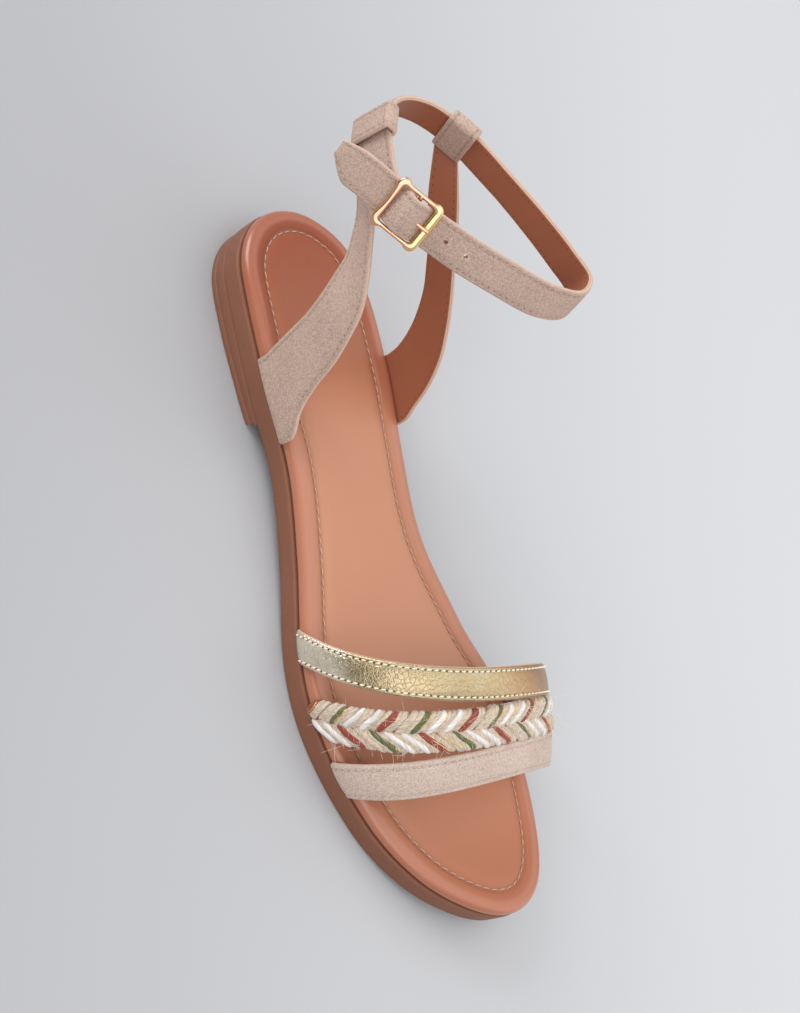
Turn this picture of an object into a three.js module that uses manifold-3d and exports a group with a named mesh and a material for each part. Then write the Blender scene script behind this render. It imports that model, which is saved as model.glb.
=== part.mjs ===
// Flat sandal for the right foot: a moulded sole with a low heel, a padded footbed, three straps over
// the forefoot, a leaf-shaped quarter on each side of the heel and a buckled ankle strap.
// Millimetres. The toe points along +X, the inner (medial) side of the foot is +Y, and +Z is up.
import * as THREE from 'three';
import { mergeVertices } from 'three/addons/utils/BufferGeometryUtils.js';
import Module from 'manifold-3d';

const wasm = await Module();
wasm.setup();

// Sole
const LENGTH = 250;
const BALL_WIDTH = 84.5;
const PLATE = 7.9;
const HEEL_RISE = 7.7;
const TOE_SPRING = 7;
const HEEL_LENGTH = 70;
const BREAST_SLANT = 1.2;
const HEEL_INSET = 0.35;
const HEEL_LIFT = 2.8;
const GROOVE = 0.5;
const EDGE_ROUND = 0.9;

// Footbed
const FOOTBED = 4.4;
const FOOTBED_INSET = 0.5;
const RIM_ROUND = 1.8;
const CHANNEL_AT = 8;
const CHANNEL_WIDTH = 1.5;
const CHANNEL_DEPTH = 0.7;
const PAD_RISE = 0.5;
const HEEL_CUP = 0.9;

// Upper
const STRAP = 1.9;
const CLEARANCE = 0.3;
const TUCK = 8;
const GOLD_WIDTH = 11.3;
const BRAID_WIDTH = 10.9;
const TOE_STRAP_WIDTH = 12.6;
const BRAID_PITCH = 3.3;
const BRAID_RELIEF = 0.9;
const BRAID_SLOPE = 3.2;
const INSTEP = 43;
const TOE_HEIGHT = 21.3;
const LAST_LEAN = 4.2;

// Ankle
const ANKLE_HEIGHT = 88;
const ANKLE_WIDTH = 43;
const ANKLE_STRAP_WIDTH = 12.5;
const TIP_LENGTH = 9;
const TIP_WIDTH = 4.5;
const HOLE = 1.6;
const HOLE_PITCH = 7.3;
const HOLE_COUNT = 5;
const KEEPER_LENGTH = 11;
const KEEPER_WALL = 1.6;

// Buckle
const BUCKLE_LENGTH = 16;
const BUCKLE_THICKNESS = 1.6;
const BUCKLE_RAIL = 1.4;
const BUCKLE_BAR = 2.2;
const CENTRE_BAR = 1.6;
const PRONG = 1.5;
const LOOP_STRIP = 1;
const LOOP_WIDTH = 9.5;
const LOOP_LEG = 10;

// Outline of the sole as shares of the ball width: how far its middle lies to the inner side, and
// half of its width there
const OUTLINE = [
  { at: 0, middle: 0.022, half: 0 },
  { at: 0.016, middle: 0.022, half: 0.165 },
  { at: 0.06, middle: 0.029, half: 0.287 },
  { at: 0.14, middle: 0.026, half: 0.335 },
  { at: 0.24, middle: 0.009, half: 0.340 },
  { at: 0.36, middle: -0.018, half: 0.318 },
  { at: 0.48, middle: -0.070, half: 0.344 },
  { at: 0.60, middle: -0.082, half: 0.438 },
  { at: 0.712, middle: -0.038, half: 0.499 },
  { at: 0.82, middle: 0.001, half: 0.459 },
  { at: 0.912, middle: 0.034, half: 0.353 },
  { at: 0.972, middle: 0.064, half: 0.206 },
  { at: 1, middle: 0.074, half: 0 },
];

// Side of the sole: how much of the heel rise and of the toe spring its top line has
const SIDE = [
  { at: 0, rise: 1, spring: 0 },
  { at: 0.16, rise: 0.95, spring: 0 },
  { at: 0.28, rise: 0.75, spring: 0 },
  { at: 0.44, rise: 0.38, spring: 0 },
  { at: 0.58, rise: 0.07, spring: 0 },
  { at: 0.66, rise: 0, spring: 0 },
  { at: 0.82, rise: 0, spring: 0 },
  { at: 0.91, rise: 0, spring: 0.3 },
  { at: 1, rise: 0, spring: 1 },
];

// Height of the last over the feather line, as shares of the instep
const INSTEP_LINE = [
  { at: 0.5, height: 1 },
  { at: 0.7, height: 0.97 },
  { at: 0.78, height: 0.78 },
  { at: 0.86, height: TOE_HEIGHT / INSTEP },
  { at: 1, height: 0.35 },
];

// Front straps from the instep to the toes. ahead: the distance of the rear edge from the strap
// behind it, or from the heel for the first one, as shares of the length, from the outer side to
// the inner side of the foot.
const FRONT_STRAPS = [
  { name: 'gold_strap', width: GOLD_WIDTH, ahead: [0.564, 0.705, 0.717, 0.683] },
  { name: 'braid_strap', width: BRAID_WIDTH, ahead: [0.047, 0.006, 0.002, 0.0022] },
  { name: 'toe_strap', width: TOE_STRAP_WIDTH, ahead: [0.038, -0.008, 0.0036, 0.002] },
];

// Quarters: rear and front edge, as shares of the length along the foot and of the ankle height
// up. turn: how far the rear edge comes in towards the heel's middle, as a share of ankle width.
const QUARTER_LATERAL = [
  { rear: 0.208, rearUp: 0.23, front: 0.325, frontUp: 0.23, turn: 0 },
  { rear: 0.202, rearUp: 0.291, front: 0.298, frontUp: 0.309, turn: 0 },
  { rear: 0.194, rearUp: 0.380, front: 0.277, frontUp: 0.417, turn: 0 },
  { rear: 0.186, rearUp: 0.467, front: 0.262, frontUp: 0.527, turn: 0 },
  { rear: 0.173, rearUp: 0.560, front: 0.242, frontUp: 0.626, turn: 0 },
  { rear: 0.155, rearUp: 0.640, front: 0.221, frontUp: 0.710, turn: 0.03 },
  { rear: 0.140, rearUp: 0.698, front: 0.191, frontUp: 0.776, turn: 0.06 },
  { rear: 0.118, rearUp: 0.738, front: 0.156, frontUp: 0.832, turn: 0.09 },
  { rear: 0.090, rearUp: 0.772, front: 0.116, frontUp: 0.878, turn: 0.12 },
];
const QUARTER_MEDIAL = [
  { rear: 0.222, rearUp: 0.23, front: 0.322, frontUp: 0.23, turn: 0 },
  { rear: 0.219, rearUp: 0.300, front: 0.312, frontUp: 0.292, turn: 0 },
  { rear: 0.205, rearUp: 0.400, front: 0.296, frontUp: 0.395, turn: 0 },
  { rear: 0.186, rearUp: 0.480, front: 0.270, frontUp: 0.505, turn: 0 },
  { rear: 0.165, rearUp: 0.545, front: 0.238, frontUp: 0.590, turn: 0 },
  { rear: 0.145, rearUp: 0.600, front: 0.208, frontUp: 0.655, turn: 0.02 },
  { rear: 0.125, rearUp: 0.655, front: 0.176, frontUp: 0.715, turn: 0.04 },
  { rear: 0.102, rearUp: 0.715, front: 0.142, frontUp: 0.785, turn: 0.06 },
  { rear: 0.075, rearUp: 0.775, front: 0.106, frontUp: 0.862, turn: 0.08 },
];

// Ankle strap from its pointed tip through the buckle, round the front and back to the buckle:
// shares of the length, the ankle width and the ankle height. lean: how far the top edge leans in.
const ANKLE_ROUTE = [
  { mark: 'tip', x: 0.053, y: -0.932, z: 0.994, lean: 28 },
  { mark: 'free', x: 0.092, y: -0.770, z: 1.028, lean: 30 },
  { mark: 'buckle', x: 0.145, y: -0.583, z: 1.065, lean: 30 },
  { mark: 'near', x: 0.190, y: -0.345, z: 1.102, lean: 31 },
  { mark: 'outside', x: 0.237, y: 0.003, z: 1.131, lean: 31 },
  { mark: 'front', x: 0.275, y: 0.368, z: 1.148, lean: 28 },
  { mark: 'bend', x: 0.282, y: 0.690, z: 1.150, lean: 18 },
  { mark: 'turn', x: 0.256, y: 0.860, z: 1.142, lean: 8 },
  { mark: 'inside', x: 0.218, y: 0.795, z: 1.131, lean: 6 },
  { mark: 'far', x: 0.172, y: 0.690, z: 1.114, lean: 8 },
  { mark: 'past', x: 0.101, y: 0.540, z: 1.070, lean: 12 },
  { mark: 'medial_keeper', x: 0.027, y: 0.411, z: 1.000, lean: 12 },
  { mark: 'behind', x: -0.012, y: 0.180, z: 0.970, lean: 6 },
  { mark: 'back', x: -0.018, y: -0.140, z: 0.965, lean: 4 },
  { mark: 'lateral_keeper', x: 0.016, y: -0.420, z: 0.985, lean: 8 },
];

// Colours
const TAN = 0xc08568;
const BROWN = 0x7e5848;
const SUEDE = 0xb8a496;
const GOLD = 0xcbb88f;
const ROPE = 0xd8c9b4;
const ROSE_GOLD = 0xd9a47c;

const UP = new THREE.Vector3(0, 0, 1);
const vector = (x, y, z) => new THREE.Vector3(x, y, z);
const mix = THREE.MathUtils.lerp;
const clamp = THREE.MathUtils.clamp;
const smooth = (t) => THREE.MathUtils.smoothstep(t, 0, 1);
const evenly = (count) => Array.from({ length: count + 1 }, (_, i) => i / count);

// Smooth curve through the rows of a table, level where the rows turn back
function through(keys, values) {
  const last = keys.length - 1;
  const chord = (i) => (values[i + 1] - values[i]) / (keys[i + 1] - keys[i]);
  const slope = keys.map((key, i) => {
    if (i === 0) return chord(0);
    if (i === last) return chord(last - 1);
    if (chord(i - 1) * chord(i) <= 0) return 0;
    const before = keys[i] - keys[i - 1];
    const after = keys[i + 1] - keys[i];
    return (chord(i - 1) * after + chord(i) * before) / (before + after);
  });
  return (key) => {
    const at = clamp(key, keys[0], keys[last]);
    let i = 0;
    while (i < last - 1 && at > keys[i + 1]) i += 1;
    const span = keys[i + 1] - keys[i];
    const t = (at - keys[i]) / span;
    const a = (1 + 2 * t) * (1 - t) ** 2 * values[i] + t * (1 - t) ** 2 * span * slope[i];
    const b = t * t * (3 - 2 * t) * values[i + 1] + t * t * (t - 1) * span * slope[i + 1];
    return a + b;
  };
}

// The outline is smooth in an angle that turns through its round heel and toe
const angleOf = (at) => Math.acos(1 - 2 * clamp(at, 0, 1));
const angles = OUTLINE.map((row) => angleOf(row.at));
const middleOf = through(angles, OUTLINE.map((row) => row.middle * BALL_WIDTH));
const halfOf = through(angles, OUTLINE.map((row) => row.half * BALL_WIDTH));
const side = (name) => (name === 'medial' ? 1 : -1);
const edgeAt = (angle, name) => middleOf(angle) + side(name) * halfOf(angle);
const widthAt = (x, name) => side(name) * edgeAt(angleOf(x / LENGTH), name);
const stationsAt = SIDE.map((row) => row.at * LENGTH);
const undersideOf = through(stationsAt, SIDE.map((row) => row.rise * HEEL_RISE + row.spring * TOE_SPRING));
const featherAt = (x) => undersideOf(x) + PLATE;

// Closed body from rings of equal length, with pole points at the start and middle of each ring
function loft(rings) {
  const n = rings[0].length;
  const k = n / 2;
  const index = [];
  for (let r = 0; r < rings.length - 1; r += 1) {
    for (let i = 0; i < n; i += 1) {
      const a = r * n + i;
      const b = r * n + (i + 1) % n;
      index.push(a, b, b + n, a, b + n, a + n);
    }
  }
  const cap = (start, triangle) => {
    triangle(start, start + n - 1, start + 1);
    for (let i = 1; i < k - 1; i += 1) {
      triangle(start + i, start + n - i, start + n - i - 1);
      triangle(start + i, start + n - i - 1, start + i + 1);
    }
    triangle(start + k - 1, start + k + 1, start + k);
  };
  cap(0, (a, b, c) => index.push(a, b, c));
  cap((rings.length - 1) * n, (a, b, c) => index.push(a, c, b));
  return body(rings.flat(), index);
}

// Geometry from points and triangles, turned so that its faces point out
function body(points, index) {
  let volume = 0;
  for (let i = 0; i < index.length; i += 3) {
    const [a, b, c] = [points[index[i]], points[index[i + 1]], points[index[i + 2]]];
    volume += a.dot(b.clone().cross(c));
  }
  if (volume < 0) {
    for (let i = 0; i < index.length; i += 3) [index[i + 1], index[i + 2]] = [index[i + 2], index[i + 1]];
  }
  const geometry = new THREE.BufferGeometry();
  geometry.setAttribute('position', new THREE.Float32BufferAttribute(points.flatMap((p) => p.toArray()), 3));
  geometry.setIndex(index);
  return geometry;
}

// Booleans
function toManifold(geometry) {
  const bare = geometry.clone();
  bare.deleteAttribute('normal');
  bare.deleteAttribute('uv');
  const merged = mergeVertices(bare, 1e-4);
  const vertProperties = Float32Array.from(merged.attributes.position.array);
  const triVerts = Uint32Array.from(merged.index.array);
  return new wasm.Manifold(new wasm.Mesh({ numProp: 3, vertProperties, triVerts }));
}

function toGeometry(manifold) {
  const mesh = manifold.getMesh();
  const geometry = new THREE.BufferGeometry();
  geometry.setAttribute('position', new THREE.BufferAttribute(Float32Array.from(mesh.vertProperties), 3));
  geometry.setIndex(new THREE.BufferAttribute(Uint32Array.from(mesh.triVerts), 1));
  return geometry;
}

function carve(geometry, cutters) {
  let solid = toManifold(geometry);
  for (const cutter of cutters) solid = solid.subtract(toManifold(cutter));
  return toGeometry(solid);
}

function join(first, ...others) {
  let solid = toManifold(first);
  for (const other of others) solid = solid.add(toManifold(other));
  return toGeometry(solid);
}

// One ring of the sole's outline, moved in by inset, at the height that height(x) gives
const OUTLINE_STEPS = 26;
function soleRing(inset, height) {
  const edge = (angle, name) => vector(LENGTH * (1 - Math.cos(angle)) / 2, edgeAt(angle, name), 0);
  const place = (angle, name) => {
    const step = 0.02;
    const ahead = edge(Math.min(angle + step, Math.PI), name);
    const run = ahead.sub(edge(Math.max(angle - step, 0), name)).normalize();
    const inward = vector(run.y, -run.x, 0).multiplyScalar(side(name));
    const point = edge(angle, name).addScaledVector(inward, inset);
    point.z = height(point.x);
    return point;
  };
  const heel = vector(inset, middleOf(0), height(inset));
  const toe = vector(LENGTH - inset, middleOf(Math.PI), height(LENGTH - inset));
  const turns = Array.from({ length: OUTLINE_STEPS - 1 }, (_, i) => Math.PI * (i + 1) / OUTLINE_STEPS);
  const medial = turns.map((angle) => place(angle, 'medial'));
  const lateral = turns.map((angle) => place(angle, 'lateral')).reverse();
  return [heel, ...medial, toe, ...lateral];
}

// Outsole: a plate that follows the last, on a heel block with a lift line and a top line
function outsole() {
  const plate = loft([
    soleRing(EDGE_ROUND, (x) => undersideOf(x)),
    soleRing(EDGE_ROUND * 0.3, (x) => undersideOf(x) + EDGE_ROUND * 0.3),
    soleRing(0, (x) => undersideOf(x) + EDGE_ROUND),
    soleRing(0, (x) => featherAt(x) - EDGE_ROUND),
    soleRing(EDGE_ROUND * 0.3, (x) => featherAt(x) - EDGE_ROUND * 0.3),
    soleRing(EDGE_ROUND, (x) => featherAt(x)),
  ]);
  const top = (x) => Math.max(undersideOf(x), HEEL_RISE * 0.5);
  const groove = (at, edge) => [
    soleRing(edge, at(-GROOVE)),
    soleRing(edge + GROOVE, at(-GROOVE / 2)),
    soleRing(edge + GROOVE, at(GROOVE / 2)),
    soleRing(edge, at(GROOVE)),
  ];
  const block = loft([
    soleRing(HEEL_INSET + GROOVE, () => 0),
    soleRing(HEEL_INSET, () => GROOVE),
    ...groove((shift) => () => HEEL_LIFT + shift, HEEL_INSET),
    soleRing(HEEL_INSET, (x) => top(x) - GROOVE),
    soleRing(HEEL_INSET + GROOVE, (x) => top(x)),
    soleRing(HEEL_INSET + GROOVE, (x) => top(x) + EDGE_ROUND * 1.5),
  ]);
  const reach = LENGTH;
  const breast = new THREE.Shape([
    new THREE.Vector2(-1, -1),
    new THREE.Vector2(HEEL_LENGTH - BREAST_SLANT / 2, -1),
    new THREE.Vector2(HEEL_LENGTH + BREAST_SLANT, PLATE + HEEL_RISE),
    new THREE.Vector2(-1, PLATE + HEEL_RISE),
  ]);
  const keep = new THREE.ExtrudeGeometry(breast, { depth: reach, bevelEnabled: false });
  keep.rotateX(Math.PI / 2).translate(0, reach / 2, 0);
  const heel = toManifold(block).intersect(toManifold(keep));
  return toGeometry(toManifold(plate).add(heel));
}

// Footbed: a rounded rim, a stitching channel all round and a padded middle, cupped at the heel
function footbed(cutters) {
  const base = (x) => featherAt(x) + CLEARANCE;
  const cup = through([0, 0.1, 0.22, 0.34, 1].map((at) => at * LENGTH), [HEEL_CUP * 0.6, HEEL_CUP, HEEL_CUP * 0.7, 0, 0]);
  const ring = (inset, up, dip = 0) => soleRing(FOOTBED_INSET + inset, (x) => base(x) + up - dip * cup(x));
  const half = CHANNEL_WIDTH / 2;
  const pad = loft([
    ring(1.1, 0),
    ring(0.4, 0.5),
    ring(0, 1.5),
    ring(0.2, FOOTBED - RIM_ROUND),
    ring(0.95, FOOTBED - RIM_ROUND * 0.35),
    ring(RIM_ROUND, FOOTBED - 0.1),
    ring(RIM_ROUND * 2, FOOTBED, 0.1),
    ring(CHANNEL_AT - CHANNEL_WIDTH, FOOTBED - 0.15, 0.4),
    ring(CHANNEL_AT - half, FOOTBED - CHANNEL_DEPTH, 0.5),
    ring(CHANNEL_AT + half * 0.4, FOOTBED - CHANNEL_DEPTH, 0.5),
    ring(CHANNEL_AT + CHANNEL_WIDTH, FOOTBED - 0.05, 0.6),
    ring(CHANNEL_AT + CHANNEL_WIDTH * 2.5, FOOTBED + PAD_RISE, 1),
  ]);
  return carve(pad, cutters);
}

// A sheet over a grid of mid-surface points, with rounded long edges; relief lifts its outer face
const EDGE_FRACTIONS = [0, 0.35, 1];
const EDGE_FULLNESS = [0, 0.72, 1];
function across(width, thickness, inner) {
  const edge = EDGE_FRACTIONS.map((share) => share * thickness / 2 / width);
  return [...edge, ...inner, ...edge.map((share) => 1 - share).reverse()];
}

function sheet(grid, thickness, relief = () => 0) {
  const last = grid.length - 1;
  const m = grid[0].length;
  const fullness = (j) => EDGE_FULLNESS[Math.min(j, m - 1 - j, 2)];
  const normal = (i, j) => {
    const along = grid[Math.min(i + 1, last)][j].clone().sub(grid[Math.max(i - 1, 0)][j]);
    const over = grid[i][Math.min(j + 1, m - 1)].clone().sub(grid[i][Math.max(j - 1, 0)]);
    return over.cross(along).normalize();
  };
  const rings = grid.map((row, i) => {
    const outer = [];
    const inner = [];
    for (let j = 1; j < m - 1; j += 1) {
      const n = normal(i, j);
      const reach = fullness(j) * thickness / 2;
      outer.push(row[j].clone().addScaledVector(n, reach + relief(i, j)));
      inner.push(row[j].clone().addScaledVector(n, -reach));
    }
    return [row[0], ...outer, row[m - 1], ...inner.reverse()];
  });
  return loft(rings);
}

const bezier = (controls) => (s) => {
  const r = 1 - s;
  const [a, b, c, d] = controls;
  return a * r ** 3 + 3 * b * r * r * s + 3 * c * r * s * s + d * s ** 3;
};

// The last over the forefoot: s runs from 0 at the outer feather to 1 at the inner one
const LAST_SQUARENESS = 2.18;
const instepAt = through(INSTEP_LINE.map((row) => row.at * LENGTH), INSTEP_LINE.map((row) => row.height * INSTEP));
function last(x, s) {
  const medial = widthAt(x, 'medial') + STRAP / 4;
  const lateral = widthAt(x, 'lateral') + STRAP / 4;
  const turn = Math.PI * (1 - s);
  const power = 2 / LAST_SQUARENESS;
  const lift = Math.sin(turn) ** power;
  const cosine = Math.cos(turn);
  const y = (medial - lateral) / 2 + (medial + lateral) / 2 * Math.sign(cosine) * Math.abs(cosine) ** power;
  return vector(x, y + LAST_LEAN * Math.sin(turn) ** 1.5, featherAt(x) + STRAP + instepAt(x) * lift);
}

// Points of a strap that goes under the footbed on one side at x
function tuckPoints(x, name, grow) {
  const z = featherAt(x) + CLEARANCE + STRAP / 2;
  const at = (inset, up) => vector(x, side(name) * (widthAt(x, name) - inset), z + up);
  return [at(TUCK + grow, 0), at(TUCK * 0.5, 0), at(1.6, 0), at(0, 0.5)];
}

const ARCH_STEPS = [0.05, 0.1, 0.16, 0.23, 0.31, 0.4, 0.5, 0.6, 0.69, 0.77, 0.84, 0.9, 0.95];

// Where each front strap runs: its rear edge and how far it reaches along the foot at each s
function strapLayout() {
  let behind = () => 0;
  return FRONT_STRAPS.map((strap) => {
    const ahead = bezier(strap.ahead.map((share) => share * LENGTH));
    const before = behind;
    const rear = (s) => before(s) + ahead(s);
    const reach = (s) => {
      const x = rear(s);
      const measured = last(x + strap.width, s).distanceTo(last(x, s));
      return strap.width ** 2 / measured;
    };
    behind = (s) => rear(s) + reach(s);
    return { ...strap, rear, reach };
  });
}

// Grid of a front strap: each lane goes up from under the footbed, over the last and down again
function strapGrid(strap, grow, inner, rows, shear = () => 0) {
  const lanes = across(strap.width, STRAP, inner).map((share) => {
    const fraction = share + (2 * share - 1) * grow / strap.width;
    const xAt = (s) => strap.rear(s) + fraction * strap.reach(s);
    const points = [
      ...tuckPoints(xAt(0), 'lateral', grow),
      ...ARCH_STEPS.map((s) => last(xAt(s), s)),
      ...tuckPoints(xAt(1), 'medial', grow).reverse(),
    ];
    return { curve: new THREE.CatmullRomCurve3(points, false, 'centripetal'), fraction };
  });
  return rows.map((t) => lanes.map(({ curve, fraction }) => curve.getPoint(clamp(t + shear(fraction, t), 0, 1))));
}

const STRAP_BASE = 0.24;
const BASE_ROWS = 10;
const ARCH_ROWS = 12;
const baseRows = evenly(BASE_ROWS).map((share) => share * STRAP_BASE);
const archRows = evenly(ARCH_ROWS).slice(1, -1).map((share) => mix(STRAP_BASE, 1 - STRAP_BASE, share));
const FRONT_ROWS = [...baseRows, ...archRows, ...baseRows.map((t) => 1 - t).reverse()];
const plainStrap = (strap, grow = 0) => sheet(strapGrid(strap, grow, [], FRONT_ROWS), STRAP + 2 * grow);

// Braid: two halves of slanted strips that meet in the middle, each half a pitch off the other
const BRAID_INNER = [0.45, 0.5, 0.55];
const BRAID_CENTRE = 0.5;
function braidStrap(strap) {
  const middle = strapGrid(strap, 0, BRAID_INNER, evenly(80)).map((row) => row[Math.floor(row.length / 2)]);
  const run = middle.slice(1).reduce((sum, point, i) => sum + point.distanceTo(middle[i]), 0);
  const span = 1 - 2 * STRAP_BASE;
  const strips = Math.round(run * span / BRAID_PITCH);
  const rowsPerStrip = 2;
  const count = strips * rowsPerStrip;
  const flat = baseRows.slice(0, -1);
  const rows = [
    ...flat,
    ...evenly(count).map((share) => STRAP_BASE + span * share),
    ...flat.map((t) => 1 - t).reverse(),
  ];
  const fade = (t) => clamp(Math.min(t - STRAP_BASE, 1 - STRAP_BASE - t) * 12, 0, 1);
  const slope = BRAID_SLOPE / run;
  const shear = (fraction, t) => slope * fade(t) * (Math.abs(fraction - BRAID_CENTRE) * 2 - 0.5);
  const grid = strapGrid(strap, 0, BRAID_INNER, rows, shear);
  const seat = Math.floor(grid[0].length / 2);
  const relief = (i, j) => {
    const step = i - flat.length;
    if (step < 0 || step > count || j < 2 || j > grid[0].length - 3 || j === seat) return 0;
    const half = j < seat ? 0 : rowsPerStrip / 2;
    const crest = (step + half) % rowsPerStrip;
    const rim = j === 2 || j === grid[0].length - 3 ? 0.55 : 1;
    return BRAID_RELIEF * crest * rim * Math.min(1, fade(rows[i]) + 0.2);
  };
  return sheet(grid, STRAP, relief);
}

// Side of the heel that the quarters lie on: the sole's width below, the ankle's above
const ANKLE_BACK = -0.016;
const ANKLE_MIDDLE = 0.2;
const ANKLE_SQUARENESS = 2.4;
function heelSide(x, z, name) {
  const base = featherAt(x) + STRAP;
  const up = clamp((z - base) / (ANKLE_HEIGHT - base), 0, 1.2);
  const low = widthAt(x, name) + STRAP / 4;
  const backwards = clamp((ANKLE_MIDDLE - x / LENGTH) / (ANKLE_MIDDLE - ANKLE_BACK), 0, 1);
  const high = ANKLE_WIDTH / 2 * (1 - backwards ** ANKLE_SQUARENESS) ** (1 / ANKLE_SQUARENESS);
  return mix(low, high, up);
}

// Ankle strap: its centre line runs through the table's points and ends at the buckle's centre bar
const marked = ANKLE_ROUTE.map((row) => vector(row.x * LENGTH, row.y * ANKLE_WIDTH, row.z * ANKLE_HEIGHT));
const indexOf = (name) => ANKLE_ROUTE.findIndex((row) => row.mark === name);
const leanOf = (name) => THREE.MathUtils.degToRad(ANKLE_ROUTE[indexOf(name)].lean);

function frameOn(curve, t, lean) {
  const centre = curve.getPoint(t);
  const run = curve.getTangent(t);
  const upright = UP.clone().addScaledVector(run, -UP.dot(run)).normalize();
  const inward = upright.clone().cross(run);
  const width = upright.multiplyScalar(Math.cos(lean)).addScaledVector(inward, Math.sin(lean));
  return { centre, run, width, out: run.clone().cross(width) };
}

const openRoute = new THREE.CatmullRomCurve3(marked, false, 'centripetal');
const buckleFrame = frameOn(openRoute, indexOf('buckle') / (marked.length - 1), leanOf('buckle'));
const shortRun = marked[indexOf('lateral_keeper')].clone().sub(buckleFrame.centre);
shortRun.addScaledVector(buckleFrame.width, -shortRun.dot(buckleFrame.width)).normalize();
const beforeBar = (distance) => buckleFrame.centre.clone().addScaledVector(shortRun, distance);
const SHORT_STOP = CENTRE_BAR / 2 + 4 * CLEARANCE;
const SHORT_STRAIGHT = LOOP_LEG + 3;
const routeEnds = [beforeBar(SHORT_STRAIGHT), beforeBar(SHORT_STOP)];
const routeCurve = new THREE.CatmullRomCurve3([...marked, ...routeEnds], false, 'centripetal');
const routeSteps = marked.length + 1;
const markAt = (name) => indexOf(name) / routeSteps;
const leans = [...ANKLE_ROUTE.map((row) => leanOf(row.mark)), leanOf('buckle'), leanOf('buckle')];
const leanAt = through(evenly(routeSteps), leans);

function frameAt(t) {
  const frame = frameOn(routeCurve, t, leanAt(t));
  const toBuckle = clamp((t - markAt('lateral_keeper')) * routeSteps, 0, 1);
  frame.width.lerp(buckleFrame.width, smooth(toBuckle)).normalize();
  frame.out.crossVectors(frame.run, frame.width).normalize();
  return frame;
}

const ROUTE_SAMPLES = 600;
const routePoints = evenly(ROUTE_SAMPLES).map((t) => routeCurve.getPoint(t));
const routeLengths = [0];
for (let i = 1; i <= ROUTE_SAMPLES; i += 1) {
  routeLengths.push(routeLengths[i - 1] + routePoints[i].distanceTo(routePoints[i - 1]));
}
const routeLength = routeLengths[ROUTE_SAMPLES];
const lengthAt = through(evenly(ROUTE_SAMPLES), routeLengths);
const parameterAt = through(routeLengths, evenly(ROUTE_SAMPLES));
const buckleAt = lengthAt(markAt('buckle'));

// The strap dips under the buckle's end bars and rides over its centre bar and the loop on it
const loopRadius = STRAP / 2 + 1.5 * CLEARANCE + LOOP_STRIP / 2;
const loopOuter = loopRadius + LOOP_STRIP / 2;
const barOffset = BUCKLE_LENGTH / 2 - BUCKLE_BAR / 2;
const UNDER_BAR = -(BUCKLE_THICKNESS / 2 + CLEARANCE + STRAP / 2);
const OVER_CENTRE = loopOuter + CLEARANCE + STRAP / 2;
const RELAX = 16;
function buckleDip(distance) {
  const d = Math.abs(distance);
  if (d < barOffset) return mix(OVER_CENTRE, UNDER_BAR, smooth(d / barOffset));
  return mix(UNDER_BAR, 0, smooth((d - barOffset - BUCKLE_BAR / 2) / RELAX));
}

const ROW_STEP = { buckle: 1.3, tip: 2.2, plain: 5 };
function ankleRows() {
  const rows = [0];
  while (rows[rows.length - 1] < routeLength) {
    const at = rows[rows.length - 1];
    const nearBuckle = Math.abs(at - buckleAt) < BUCKLE_LENGTH * 0.8;
    const nearTip = at < TIP_LENGTH;
    rows.push(at + (nearBuckle ? ROW_STEP.buckle : nearTip ? ROW_STEP.tip : ROW_STEP.plain));
  }
  rows[rows.length - 1] = routeLength;
  return rows;
}

function ankleGrid(grow) {
  const dips = (at) => (at > buckleAt + routeLength / 2 ? 0 : buckleDip(at - buckleAt));
  const stretch = (at) => mix(-grow, routeLength + grow, at / routeLength);
  return ankleRows().map((row) => {
    const at = stretch(row);
    const { centre, run, width, out } = frameAt(parameterAt(clamp(at, 0, routeLength)));
    const beyond = at - clamp(at, 0, routeLength);
    const point = centre.addScaledVector(out, dips(at)).addScaledVector(run, beyond);
    const narrow = smooth((row + 1) / TIP_LENGTH) ** 0.7;
    const full = mix(TIP_WIDTH, ANKLE_STRAP_WIDTH, narrow) + 2 * grow;
    return across(full, STRAP, []).map((f) => point.clone().addScaledVector(width, (f - 0.5) * full));
  });
}

// The buckle is laid out flat: x along the strap towards the front, y across it and z outwards
const buckleBasis = new THREE.Matrix4().makeBasis(buckleFrame.run, buckleFrame.width, buckleFrame.out);
buckleBasis.setPosition(buckleFrame.centre);

function roundedBox(shape, halfX, halfY, radius) {
  shape.moveTo(-halfX + radius, -halfY);
  shape.lineTo(halfX - radius, -halfY);
  shape.absarc(halfX - radius, -halfY + radius, radius, -Math.PI / 2, 0);
  shape.lineTo(halfX, halfY - radius);
  shape.absarc(halfX - radius, halfY - radius, radius, 0, Math.PI / 2);
  shape.lineTo(-halfX + radius, halfY);
  shape.absarc(-halfX + radius, halfY - radius, radius, Math.PI / 2, Math.PI);
  shape.lineTo(-halfX, -halfY + radius);
  shape.absarc(-halfX + radius, -halfY + radius, radius, Math.PI, Math.PI * 1.5);
  return shape;
}

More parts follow.
